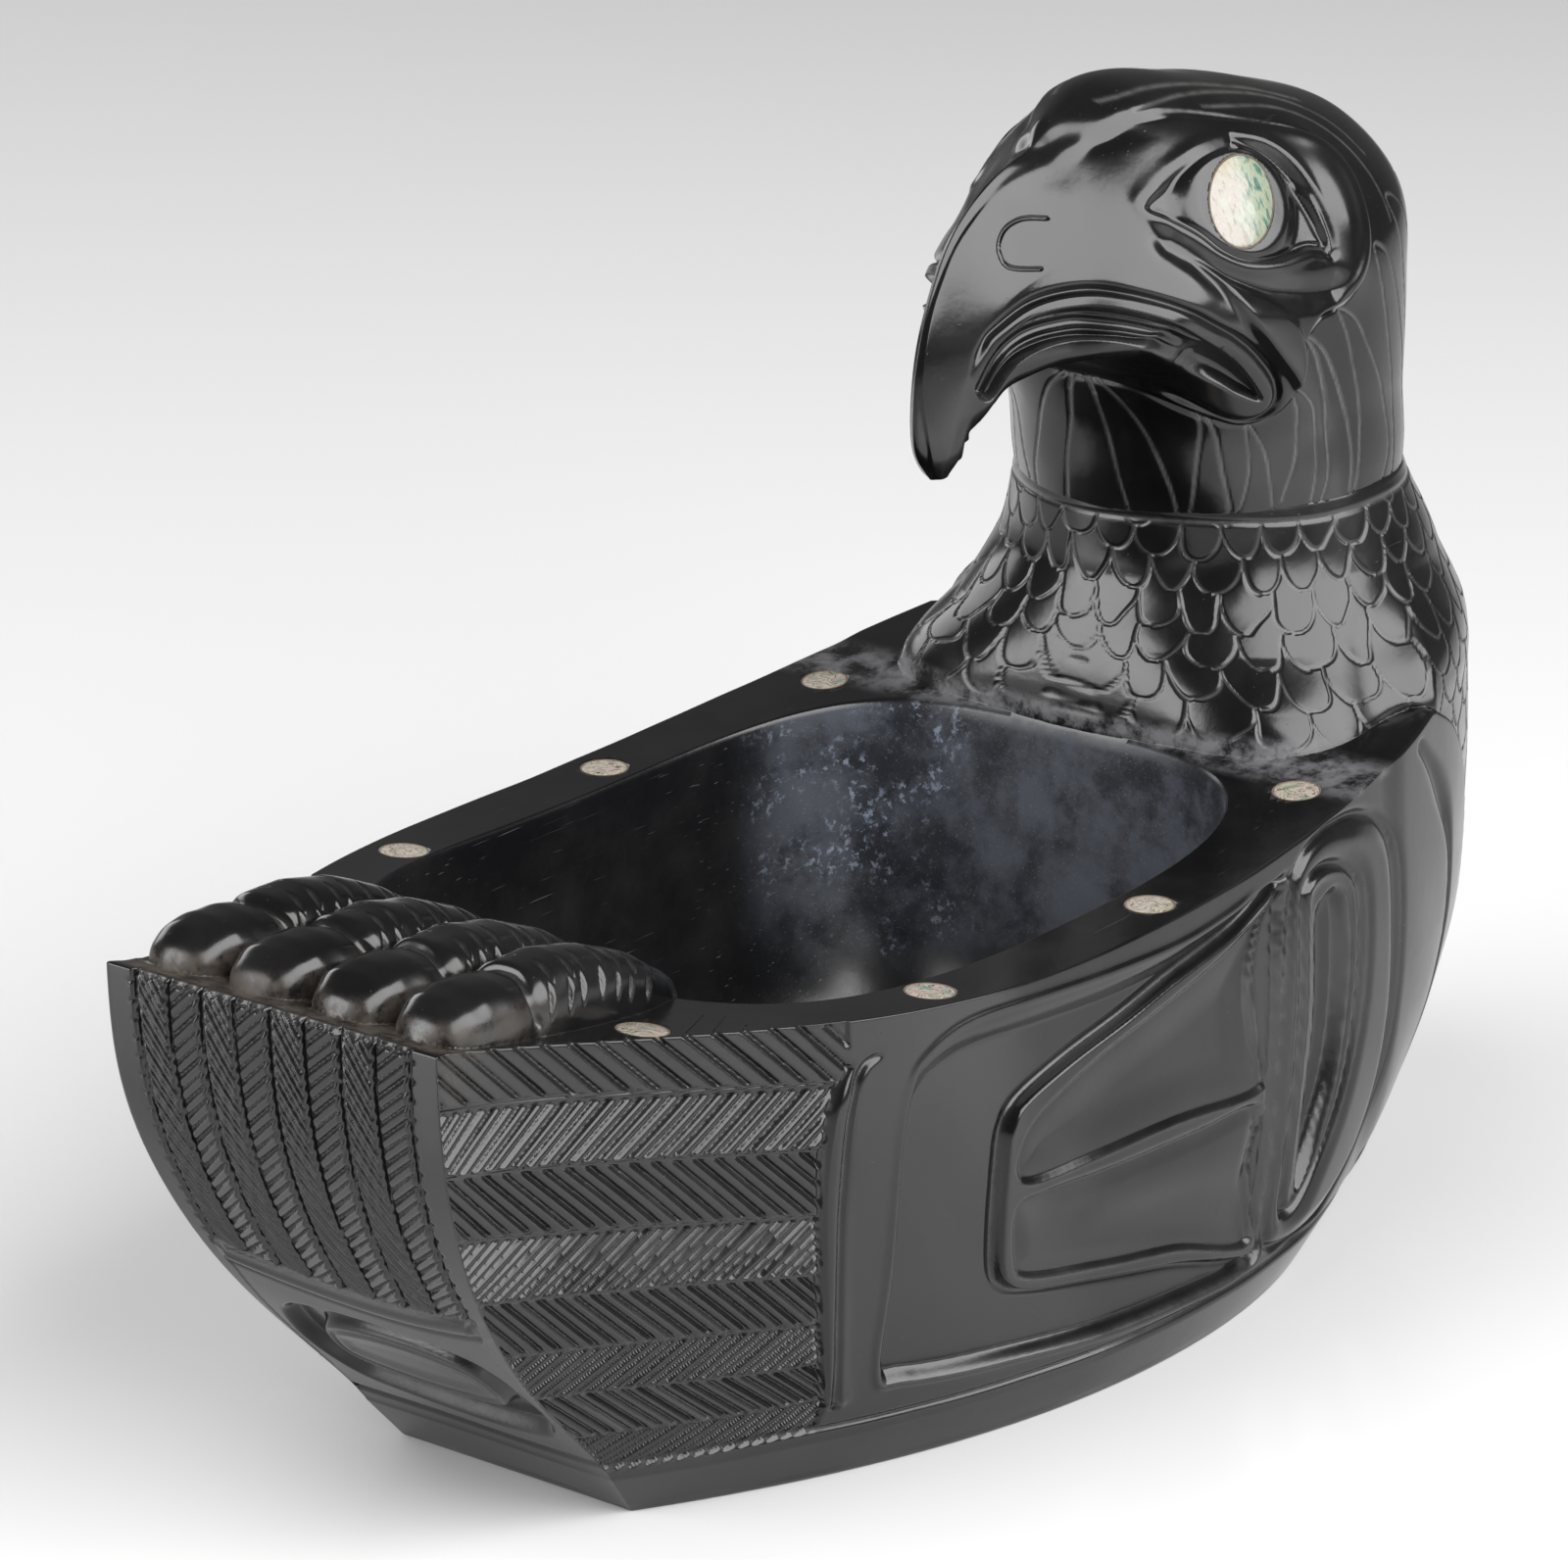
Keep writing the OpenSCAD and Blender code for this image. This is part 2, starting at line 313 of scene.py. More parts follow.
REAR_GROOVE = round_curve([
    (88.5, 93), (97, 85), (104, 73), (107, 60), (106, 46), (100, 33), (90, 22), (76, 14)])
BAND_EDGE = round_curve([
    (88, 101), (100, 96), (110, 90), (117.5, 80), (121, 66), (121, 50), (116, 35), (107, 24), (96, 16),
    (84, 10)])
# heights of the feather rows' edges, where the rows end and at the tail's corner
ROWS_END = np.array([93, 82, 70.3, 57.7, 46.3, 36, 27, 18.7, 9])
ROWS_CORNER = np.array([106, 94.4, 82.6, 70.6, 58, 46.2, 36, 23.3, 9])
BARB_PITCH = np.array([4.3, 3.3, 3.2, 2.9, 2.8, 2.6, 2.5, 2.5])
BARB_SLOPE = np.array([0.95, 1.25, 1.0, 1.2, 1.1, 1.2, 1.3, 1.3])
COLUMNS = np.array([29.6, 22.4, 15.2, 8.0, 0.4, -7.0, -14.6, -22.0, -29.6])


def band_x(z):
    order = np.argsort(BAND_EDGE[:, 1])
    return np.interp(z, BAND_EDGE[order, 1], BAND_EDGE[order, 0])


def barbs(phase, pitch, slope, deep):
    """Straight graver cuts side by side, each barb left slightly tilted."""
    which = np.round(phase)
    d = np.abs(phase - which) * pitch / math.hypot(1, slope)
    cut = np.clip(1 - d / 0.62, 0, 1)
    size = 0.85 + 0.2 * np.sin(which * 2.4 + deep)
    return -deep * size * cut + 0.45 * (phase - np.floor(phase) - 0.5), cut


def feather_rows(x, z):
    """Carved rows of slanting barbs along the side of the tail. Returns height and pale worn edges."""
    s = np.clip((-90 - x) / 70, 0, 1.1)
    h = np.zeros(x.shape)
    light = np.zeros(x.shape)
    for k in range(8):
        top, low = mix(ROWS_END[k], ROWS_CORNER[k], s), mix(ROWS_END[k + 1], ROWS_CORNER[k + 1], s)
        f = (top - z) / (top - low)
        here = (f >= 0) & (f < 1)
        if not here.any():
            continue
        lean = 1 if k % 2 == 0 else -1
        wobble = 0.18 * np.sin(x / 7.3 + 1.7 * k)
        phase = (x + lean * BARB_SLOPE[k] * z + wobble) / BARB_PITCH[k]
        hb, cut = barbs(phase, BARB_PITCH[k], BARB_SLOPE[k], 1.1)
        from_top, from_low = f * (top - low), (1 - f) * (top - low)
        fade = ramp(0.8, 1.4, from_top) * ramp(0.0, 0.5, from_low)
        shingle = 1.25 * (f - 0.45) + 0.3 * ramp(0.6, 0.2, np.abs(from_top - 0.6))
        h = np.where(here, shingle + hb * fade, h)
        light = np.where(here, 0.16 * cut * fade + 0.25 * bell(from_low, 0.3), light)
    return h, light


def side_relief(p):
    """Height of the carving on a wing side, and the light in its scratched lines."""
    x, z = p[..., 0], p[..., 2]
    h = np.zeros(x.shape)
    light = np.zeros(x.shape)
    order = np.argsort(FEATHER_END[:, 1])
    end = np.interp(z, FEATHER_END[order, 1], FEATHER_END[order, 0])
    rows, rows_light = feather_rows(x, z)
    region = ramp(0.2, -0.5, x - end) * ramp(10.5, 12, z - 0.02 * (x + 100))
    h += region * (rows - 0.3)
    light += region * rows_light
    d = line_distance(x, z, FEATHER_END)
    h += groove(d, 0.55, 0.9)
    light += 0.25 * bell(d, 0.4)
    d = line_distance(x, z, HOOK)
    h += groove(d, 0.75, 1.1) * ramp(86, 84, z)
    light += 0.2 * bell(d, 0.5)
    raised = bell(x - end - 2.2, 1.9) * ramp(14, 18, z) * ramp(84, 78, z)
    h += 0.9 * raised

    field = depth_in(x, z, FIELD)
    wide = mix(1.6, 7, ramp(70, 84, z) * ramp(30, -30, x))
    sunk = smooth((field + 0.2) / wide)
    h += -2.4 * sunk
    h += 0.35 * bell(field + 0.6, 0.8) * ramp(22, 14, x)
    light += 0.3 * bell(field, 0.4) * ramp(60, 18, z) * ramp(35, 20, x)
    u = depth_in(x, z, U_OUTER)
    h += 2.1 * smooth((u + 0.3) / 1.2)
    h += groove(u + 0.8, 0.7, 0.5)
    light += 0.25 * bell(u + 0.4, 0.4)
    top = depth_in(x, z, U_TOP)
    h += -1.0 * smooth(top / 1.6) - 0.9 * smooth((top - 1) / 9)
    light += 0.2 * bell(top, 0.35)
    low = depth_in(x, z, U_LOW)
    flutes = np.sin((x * 0.42 + z * 0.9 - 10) / 3.6) * ramp(-46, -20, x) * ramp(44, 34, z)
    h += -1.1 * smooth(low / 1.4) + smooth(low / 5) * (0.55 * flutes + 0.7 * bell(z - 40, 6))
    light += 0.25 * bell(low, 0.35)

    ov = depth_in(x, z, OVOID_OUT)
    inner = depth_in(x, z, OVOID_IN)
    core = depth_in(x, z, OVOID_CORE)
    h += groove(ov, 0.9, 1.5)
    band = ramp(0.3, 5, ov) * ramp(0.2, 5, -inner)
    h += 1.1 * band
    h += groove(inner, 0.8, 1.4)
    h += 0.45 * bell(inner - 1.7, 0.9) * (inner > 0)
    h += -2.6 * smooth(core / 2.6) - 0.8 * smooth((core - 2) / 5)
    light += 0.25 * bell(ov, 0.4) + 0.25 * bell(inner, 0.4) + 0.15 * bell(core, 0.3)
    outside = ramp(0.2, 4, -ov) * ramp(70, 80, x)
    d = line_distance(x, z, REAR_GROOVE)
    thick = 0.8 + 1.6 * bell(z - 80, 9)
    h += outside * 0.9 + groove(d, thick, 1.5) * ramp(8, 14, z)
    light += 0.2 * bell(d, 0.4)
    # the wing ends in a step down to the scaled back
    h += -2.6 * ramp(-0.4, 0.9, x - band_x(z)) * ramp(11, 15, z)
    foot = z - (10.6 - 0.012 * x)
    light += 0.3 * bell(foot, 0.35) * ramp(100, 60, x)
    h += groove(foot, 0.6, 0.7)
    return h, np.clip(light, 0, 1)


RECESS = round_curve(mirrored([
    (0, 16.3), (10, 16.6), (20, 18), (24.5, 21.5), (26.5, 27), (25.5, 33), (23, 37), (17, 39.5),
    (0, 40.6)]), True)
LENS = round_curve(mirrored([
    (0, 22.6), (14, 23.6), (18.4, 26), (18.6, 30.5), (16, 34.5), (8, 36.4), (0, 36.8)]), True)
NICK_PITCH = 3.4


def tail_relief(p, run):
    """Height of the carving on the tail panel; run is the length along the panel from the foot."""
    y, z = p[..., 1], p[..., 2]
    band_top = 48.6 + 0.0035 * y * y
    band_low = 44.2 + 0.004 * y * y
    h = np.zeros(y.shape)
    light = np.zeros(y.shape)
    squeeze = mix(0.93, 1.0, np.clip((z - 45) / 55, 0, 1))
    yy = y / squeeze
    in_barbs = ramp(0, 0.6, z - band_top)
    for k in range(8):
        left, right = COLUMNS[k], COLUMNS[k + 1]
        f = (left - yy) / (left - right)
        here = (f >= 0) & (f < 1)
        lean = 1 if k % 2 == 0 else -1
        pitch, slope = (2.15, 1.35) if k % 2 == 0 else (2.6, 0.85)
        across = (f - 0.5) * (left - right)
        hb, cut = barbs((run + lean * slope * across + 0.2 * np.sin(run / 6 + k)) / pitch, pitch, slope, 0.8)
        edge = np.minimum(f, 1 - f) * (left - right)
        fade = ramp(0.3, 0.8, edge)
        chip = ramp(0.1, 0.7, rim_z(p[..., 0]) - z - 0.5 * np.sin(9.1 * k + 2.2 * yy) - 0.3)
        hk = hb * fade + 0.7 * (f - 0.5) + 0.35 * ramp(0.1, 0.9, edge)
        h = np.where(here, hk * in_barbs * chip - 0.7 * (1 - chip) * in_barbs, h)
        light = np.where(here, 0.16 * cut * fade * in_barbs + 0.4 * (1 - chip), light)
    for c in COLUMNS:
        d = np.abs(yy - c)
        h += -1.1 * np.clip(1.25 - d / 0.45, 0, 1) * in_barbs
        light *= 1 - 0.95 * bell(d, 0.6)
    margin = np.abs(yy) > COLUMNS[0]
    h = np.where(margin, h + 0.15, h)
    nick = (run / NICK_PITCH - np.round(run / NICK_PITCH)) * NICK_PITCH
    h += -0.4 * bell(nick, 0.4) * bell(np.abs(yy) - 30.3, 0.5) * in_barbs
    middle = (band_top + band_low) / 2
    ridge = bell(z - middle, 1.5) * ramp(28.6, 26, np.abs(y))
    h += 1.0 * ridge
    h += groove(z - band_top, 0.55, 0.7) * (np.abs(y) < 29)
    h += groove(z - band_low, 0.6, 0.8) * (np.abs(y) < 28)
    light += 0.25 * bell(z - band_top, 0.4) + 0.35 * bell(z - band_low, 0.4)
    recess = depth_in(y, z, RECESS)
    lens = depth_in(y, z, LENS)
    h += -2.6 * smooth((recess + 0.2) / 2.2) + 2.5 * smooth((lens + 0.6) / 1.6)
    h += groove(lens - 1.9, 0.5, 0.5) - 0.5 * smooth((lens - 2.4) / 3)
    light += 0.4 * bell(z - 17.3 - 0.002 * y * y, 0.7) * ramp(25, 10, np.abs(y)) + 0.3 * bell(lens - 1.9, 0.4)
    h += groove(z - 12.6, 0.6, 0.6)
    light += 0.35 * bell(z - 12.6, 0.35)
    return h, np.clip(light, 0, 1)


FOOT = (-105.0, 25.7, 10.0, 63.5, 105.0)  # tail end's x and half width, widest x and half width, back x


def bowl_mesh():
    ts = np.linspace(0, 1, 300 // COARSE)
    side = bowl_base(ts)
    cols = side.shape[1]
    fx, fy = outline(*FOOT, 0.0)
    foot = np.stack([fx[0], fy[0], 0 * fx[0]], 1)
    bottom = [np.array([s, s, 1]) * foot for s in (0.03, 0.3, 0.6, 0.85, 0.96, 0.99)]
    n_foot = 20 // COARSE
    foot_rows = [mix(foot, side[0], k / n_foot) for k in range(n_foot)]
    outer = np.concatenate([np.stack(foot_rows), side])
    edge = side[-1]
    ang = np.arctan2(edge[:, 1] / CAVITY_W, (edge[:, 0] - CAVITY_X) / CAVITY_L)
    c, s = np.cos(ang), np.sin(ang)
    r = (np.abs(c) ** CAVITY_SQUARE + np.abs(s) ** CAVITY_SQUARE) ** (-1 / CAVITY_SQUARE)
    dx, dy = CAVITY_L * r * c, CAVITY_W * r * s
    # carving
    normals = grid_normals(outer, np.array([0, 0, 55.0]))
    is_tail = np.zeros(cols, bool)
    is_tail[2 * (N_FRONT + N_BACK) + 1:] = True
    h, light = side_relief(outer)
    run = np.cumsum(np.linalg.norm(np.diff(outer, axis=0, prepend=outer[:1]), axis=2), 0)
    ht, lt = tail_relief(outer, run)
    h = np.where(is_tail[None], ht, h)
    light = np.where(is_tail[None], lt, light)
    for corner in (0, 2 * (N_FRONT + N_BACK)):
        h[:, corner], light[:, corner] = 0.1, 0.15
    fade = ramp(9.4, 10.4, outer[..., 2])
    h = h * fade + 0.12 * wave(outer, 11) * (outer[..., 2] > 1)
    light = light * fade
    moved = outer + normals * h[..., None]
    moved[..., 2] = np.clip(moved[..., 2], 0, None)
    moved[-1, :, 2] = outer[-1, :, 2]
    # rim: straight across from the cut outer edge to the cavity's mouth
    n_rim = 22 // COARSE
    rim = []
    for k in range(1, n_rim):
        v = (1 - math.cos(math.pi * k / n_rim)) / 2
        x, y = mix(moved[-1, :, 0], CAVITY_X + dx, v), mix(moved[-1, :, 1], dy, v)
        rim.append(np.stack([x, y, rim_top(x)], 1))
    walls = []
    for a in np.linspace(0, math.pi / 2, 84 // COARSE):
        scale = 1 - 0.16 * math.sin(a) ** 2 - 0.62 * (1 - math.cos(a)) ** 2.4
        x, y = CAVITY_X + dx * scale, dy * scale
        walls.append(np.stack([x, y, mix(rim_z(x), CAVITY_FLOOR, math.sin(a) ** 0.75)], 1))
    for k in (0.8, 0.55, 0.3, 0.1):
        x, y = CAVITY_X + dx * 0.22 * k, dy * 0.22 * k
        walls.append(np.stack([x, y, 0 * x + CAVITY_FLOOR], 1))
    inner = np.stack(rim + walls)
    n_out = len(outer)
    grid = np.concatenate([np.stack(bottom), moved, inner])
    top = len(bottom) + n_out - 1
    mouth = top + len(rim) + 1
    for row, reach in ((top, 2), (mouth, 3)):
        for _ in range(2):
            band = grid[row - reach:row + reach + 1].copy()
            grid[row - reach + 1:row + reach] = (band[:-2] + 2 * band[1:-1] + band[2:]) / 4
    wall = grid[mouth + 2:]
    wall += (0.25 * wave(wall, 16, 2.0) + 0.1 * wave(wall, 5, 1.0))[..., None] * np.array([1, 1, 0.2])
    rows = len(grid)
    lights = np.zeros(grid.shape[:2])
    lights[len(bottom):len(bottom) + n_out] = light
    hollow = np.zeros(grid.shape[:2])
    hollow[mouth:] = 1
    verts = np.concatenate([grid.reshape(-1, 3), [[0, 0, 0]], [[CAVITY_X, 0, CAVITY_FLOOR]]])
    quads = grid_faces(rows, cols)
    full = {key: np.concatenate([v.ravel(), [0, v[-1, 0]]])
            for key, v in (("line", lights), ("hollow", hollow))}
    return solid("bowl", verts, quads, end_fans(rows, cols), full)


# ---------------------------------------------------------------- torso, neck, head

# front x, z, back x, z, half width, squareness of front and back, narrowing to the back
TORSO = np.array([
    [60.7, 92, 161, 92, 50, 4.0, 2.1, 0.12], [61.6, 100, 160, 100, 48.5, 3.4, 2.1, 0.10],
    [64, 109, 157, 109, 44.5, 2.6, 2.1, 0.04], [68, 121, 151, 121, 41, 2.1, 2.1, 0],
    [68.3, 135, 143.5, 135, 36.8, 2.0, 2.1, 0], [70, 141, 141, 141, 34, 2.0, 2.1, 0]])
HEAD = np.array([
    [68.5, 133, 143, 133, 36.5, 2.0, 2.1, 0], [64, 150, 145, 150, 37, 2.1, 2.1, 0],
    [60, 162, 146, 172, 36.5, 2.8, 2.2, 0], [56, 166, 143, 190, 35.5, 3.4, 2.4, 0],
    [52, 168, 131, 203, 33, 3.8, 2.3, 0.05], [48, 169, 111, 209.5, 30.5, 4.0, 2.3, 0.05],
    [44, 169.8, 89, 214, 26.5, 4.2, 2.2, 0.12], [40, 169.8, 68, 215.5, 20, 4.2, 2.0, 0.22],
    [36, 169, 50.5, 209.5, 13.5, 4.2, 1.6, 0.30], [32, 167, 34.4, 203.5, 9, 4.0, 1.4, 0.40],
    [29, 165, 22, 195.5, 7, 3.6, 1.4, 0.40], [26, 161.5, 14.5, 184, 5.5, 3.4, 1.4, 0.40],
    [24.5, 158, 10.5, 171, 4.2, 2.1, 1.5, 0.30], [23, 154.5, 10.5, 158, 3.2, 2.1, 1.7, 0.20],
    [20, 151.5, 15.5, 151, 1.4, 2.1, 1.9, 0]])


def spline_rows(table, t):
    i = np.clip(np.floor(t).astype(int), 0, len(table) - 2)
    u = (t - i)[:, None]
    a, b, c, d = (table[np.clip(i + k, 0, len(table) - 1)] for k in (-1, 0, 1, 2))
    return between(a, b, c, d, u)


def section_rings(s, around):
    a = 2 * np.pi * (np.arange(around) + 0.5) / around
    c = np.cos(a)[None]
    n = np.where(c < 0, s[:, 5:6], s[:, 6:7])
    along = squared(c, n)
    across = squared(np.sin(a)[None], n) * s[:, 4:5] * (1 - s[:, 7:8] * along)
    f = (1 + along) / 2
    return np.stack([mix(s[:, 0:1], s[:, 2:3], f), across, mix(s[:, 1:2], s[:, 3:4], f)], 2)


def even_rings(table, around, rows):
    """Rings spread evenly by how far the section moves, and points spread evenly round each ring."""
    t = np.linspace(0, len(table) - 1, 2000)
    s = spline_rows(table, t)
    reach = sum(np.linalg.norm(np.diff(s[:, ends], axis=0), axis=1) for ends in (slice(0, 2), slice(2, 4)))
    total = np.concatenate([[0], np.cumsum(reach)])
    fine = section_rings(spline_rows(table, np.interp(np.linspace(0, total[-1], rows), total, t)), 3000)
    grid = np.empty((rows, around, 3))
    for j, ring in enumerate(fine):
        ring = np.concatenate([ring, ring[:1]])
        run = np.concatenate([[0], np.cumsum(np.linalg.norm(np.diff(ring, axis=0), axis=1))])
        at = run[-1] * (np.arange(around) + 0.5) / around
        for k in range(3):
            grid[j, :, k] = np.interp(at, run, ring[:, k])
    return grid


def closed_loft(name, grid, attributes):
    rows, cols = grid.shape[:2]
    verts = np.concatenate([grid.reshape(-1, 3), [grid[0].mean(0)], [grid[-1].mean(0)]])
    full = {k: np.concatenate([v.ravel(), [0, 0]]) for k, v in attributes.items()}
    return solid(name, verts, grid_faces(rows, cols), end_fans(rows, cols), full)


NECK_X = 107
SCALES_ROUND = 30
SCALE_ROW = 6.4
RING_Z = 132.5


def scale_lines(p):
    """Distance in mm to the nearest incised scale edge."""
    phi = np.arctan2(p[..., 1], NECK_X - p[..., 0])
    radius = np.hypot(p[..., 1], NECK_X - p[..., 0])
    warp = wave(p, 9, 3.0)
    v = (RING_Z - p[..., 2]) / SCALE_ROW + 0.22 * warp + 0.10 * wave(p, 4, 1.0)
    row = np.floor(v)
    u = phi * SCALES_ROUND / (2 * np.pi) + 0.5 * (row % 2) + 0.16 * wave(p, 6, 5.0) + 0.12 * np.sin(3.7 * row)
    fu, fv = u - np.floor(u) - 0.5, v - row
    width = radius * 2 * np.pi / SCALES_ROUND
    q = np.sqrt((2 * fu) ** 2 + fv ** 2) + 1e-6
    slope = np.sqrt((4 * fu / (q * width)) ** 2 + (fv / (q * SCALE_ROW)) ** 2) + 1e-6
    return np.abs(q - 1) / slope


def torso_mesh():
    around = 760 // COARSE
    zs = np.concatenate([np.arange(12, 88, 0.6 * COARSE), np.arange(88, 141, 0.3 * COARSE)])
    a = 2 * np.pi * (np.arange(around) + 0.5) / around
    stations = spline_rows(TORSO, np.interp(zs, TORSO[:, 1], np.arange(len(TORSO))))
    upper = section_rings(stations, around)
    upper[..., 2] = zs[:, None]
    # lower down, the back follows the bowl's own outline
    t = np.clip((zs - FOOT_H) / (100 - FOOT_H), 0, 1)[:, None]
    x1, w1, x2, n = widest_x(t), side_w(t), back_x(t), back_square(t)
    cut = np.arcsin(np.clip((100 - x1) / (x2 - x1), 0, 1) ** (n / 2))
    turn = np.minimum(a, 2 * np.pi - a)[None]
    sign = np.where(a < np.pi, 1, -1)[None]
    b = mix(np.pi / 2, cut, np.clip(turn / (np.pi / 2), 0, 1))
    px = x1 + (x2 - x1) * squared(np.sin(b), n)
    py = w1 * squared(np.cos(b) + 1e-12, n)
    front = np.clip(turn / (np.pi / 2) - 1, 0, 1) * np.pi / 2
    y0 = w1 * squared(np.cos(cut), n)
    fx = 100 - 34 * np.sin(front) ** 0.8
    fy = y0 * np.cos(front) ** 0.8
    is_front = turn > np.pi / 2
    lower = np.stack([np.where(is_front, fx, px), sign * np.where(is_front, fy, py), zs[:, None] + 0 * px], 2)
    sink = mix(5.5, 0.3, ramp(-2.0, 0.4, lower[..., 0] - band_x(zs)[:, None])) * ramp(99, 94, zs)[:, None]
    sink += 3 * ramp(17, 12.5, zs)[:, None]
    normal = grid_normals(lower, np.array([110.0, 0, 60]))
    lower = lower - normal * sink[..., None]
    w = ramp(96, 118, zs)[:, None]
    w = mix(w, 1, ramp(101, 86, lower[..., 0]))
    grid = mix(lower, upper, w[..., None])
    normals = grid_normals(grid, np.array([108.0, 0, 80]))
    d = scale_lines(grid)
    z = grid[..., 2]
    wanted = ramp(RING_Z + 0.2, RING_Z - 0.8, z)
    # the scales stop above the wall of the bowl at the front
    ahead = grid[..., 0] < 92
    wanted = np.where(ahead, wanted * ramp(94.8, 96.4, z + 1.2 * wave(grid, 6)), wanted * ramp(20, 26, z))
    cut_line = bell(d, 0.22) * wanted
    ring = bell(z - RING_Z - 0.5 * wave(grid, 14), 0.45)
    above_edge = ramp(93, 98, z)
    h = -0.34 * cut_line - 0.3 * ring + (0.14 * wave(grid, 14, 0.7) + 0.03 * wave(grid, 5, 2.0)) * above_edge
    light = 0.6 * np.clip(cut_line + 0.8 * ring, 0, 1)
    grid = grid + normals * h[..., None]
    return closed_loft("torso", grid, {"line": light, "hollow": 0 * light})


# head outlines: x, z in mm from the side
FACE = round_curve([
    (49, 205.5), (54, 206.5), (58.5, 208), (62, 209.6), (73, 209.6), (85, 207.5), (96, 204.5), (104, 200.5),
    (108, 195), (108, 188), (105.5, 181), (101, 175.5), (95, 172.6), (89, 171.6), (85.4, 168), (84.8, 162),
    (83, 157), (80, 153.6), (76, 152), (72, 153), (66, 156.5), (61, 160.5), (56, 163.5), (46, 166.5),
    (38, 165), (30, 158), (22, 140), (-10, 140), (-10, 215), (30, 215), (40, 209)], True, 5)
SOCKET = round_curve([
    (55.5, 196.3), (60, 199.2), (65, 201.6), (72, 203.6), (80, 204.2), (86.5, 202.8), (90.5, 199.4),
    (92, 194), (92.5, 188), (93, 183.6), (88, 184.3), (80, 183.8), (72, 184.6), (66.5, 187.2), (62.5, 191),
    (58.5, 194)], True)
NOSTRIL = round_curve([(40, 195.6), (35.5, 196), (31.5, 194.6), (29.2, 191.6), (30, 188.4), (35.5, 187.4)])
SLOT = round_curve([
    (21, 168), (24.5, 174), (29, 177.6), (34, 179.6), (40.4, 180.4), (46, 179.4), (53, 176.2), (62, 170.4),
    (69.5, 165.4), (74, 161), (76.6, 157.4), (72.4, 159.2), (68, 162), (59.5, 167), (48, 172.6),
    (41.4, 174.8), (35, 174.2), (29, 171), (24.5, 165)], True)
TONGUE = round_curve([
    (23, 166), (26.5, 172.5), (31, 176), (36, 177.6), (41, 178), (48, 176), (58, 170), (68, 163.8),
    (75.5, 158)])
LIP = round_curve([
    (19.7, 171.4), (22, 175), (25, 178), (33, 182), (41, 183.4), (46.5, 182.6), (54, 179.4), (62.6, 174),
    (71, 168.4), (77, 162.8), (79.6, 158.2), (79, 154.6), (76, 152.8), (72, 153.8), (66.4, 157.6),
    (60.5, 162), (56, 164.8), (50, 166.6)])
JAW = round_curve([
    (60.5, 187), (64, 180.5), (67.5, 174.5), (73.5, 168.5), (79.5, 162.4), (83.5, 158.5), (85.2, 163),
    (83.5, 169), (79.5, 174.5), (74, 178.6), (67, 182.5)], True)
VALLEY = round_curve([(57, 190), (62, 185.6), (68, 182), (75, 179), (84, 177), (93, 176)])
SOCKET_FOLD = round_curve([(80, 204), (87, 201), (91.5, 194), (93.5, 186), (93.5, 183)])
# long incised loops on the neck: degrees round from the front, and height
NECK_LOOPS = [
    [(4, 157), (2, 161), (10, 157), (17, 150), (23, 140), (26, 132)],
    [(3, 160), (4, 156), (7, 146), (11, 133)],
    [(29, 135), (31, 146), (31, 153), (28, 156), (34, 152), (38, 142), (41, 133)],
    [(42, 133), (45, 142), (44, 150), (43, 153), (49, 147), (52, 139), (53, 132)],
    [(55.5, 136), (59, 145), (59, 153), (56, 159), (64, 154), (66, 145), (65, 134)],
    [(67, 133), (70.5, 140), (69, 152), (65, 163), (60, 168.5), (68, 164), (75, 155), (80, 146), (80, 133)],
    [(81.5, 132), (85, 146), (84, 153), (79, 165), (74, 171.5), (82, 169), (88, 164), (98, 153), (102, 143),
     (97, 134)],
    [(105, 134), (107, 148), (104, 160), (99, 172), (95, 181), (104, 178), (112, 168), (120, 152),
     (122, 142), (118, 134)],
    [(126, 134), (127, 150), (122, 165), (116, 178), (112, 188), (121, 186), (130, 172), (138, 155),
     (140, 143), (138, 134)],
    [(147, 134), (148, 148), (146, 160), (140, 178), (135, 190), (146, 186), (154, 172), (160, 156),
     (161, 143), (158, 134)],
    [(168, 134), (169, 148), (167, 162), (162, 180), (158, 193), (168, 190), (177, 170), (180, 150),
     (180, 134)]]
NOTCH = round_curve([
    (40, 208.4), (46, 207.9), (52, 209.2), (58.6, 208.6), (58.4, 206.9), (54, 206), (50, 205.8),
    (44, 205.9), (40, 206)], True, 4)
BEAK_PLANE = round_curve([
    (58, 206.6), (52.2, 205.8), (44.2, 204.6), (34.1, 201.6), (22.7, 194.6), (16.2, 186), (12.4, 177),
    (11, 167.5), (13.6, 154), (20, 150), (30, 150), (40, 168), (60, 168), (70, 180), (72, 204)], True, 5)
CROWN_LINES = [[(64, 210.8), (77, 212.2), (93, 211), (105, 208), (113, 203.5), (119, 196)],
               [(80, 210.2), (96, 208.4), (106, 205), (112, 200), (116.5, 193), (118, 184)],
               [(60, 212.2), (72, 213.8), (86, 213), (100, 210.5), (112, 206.5)]]


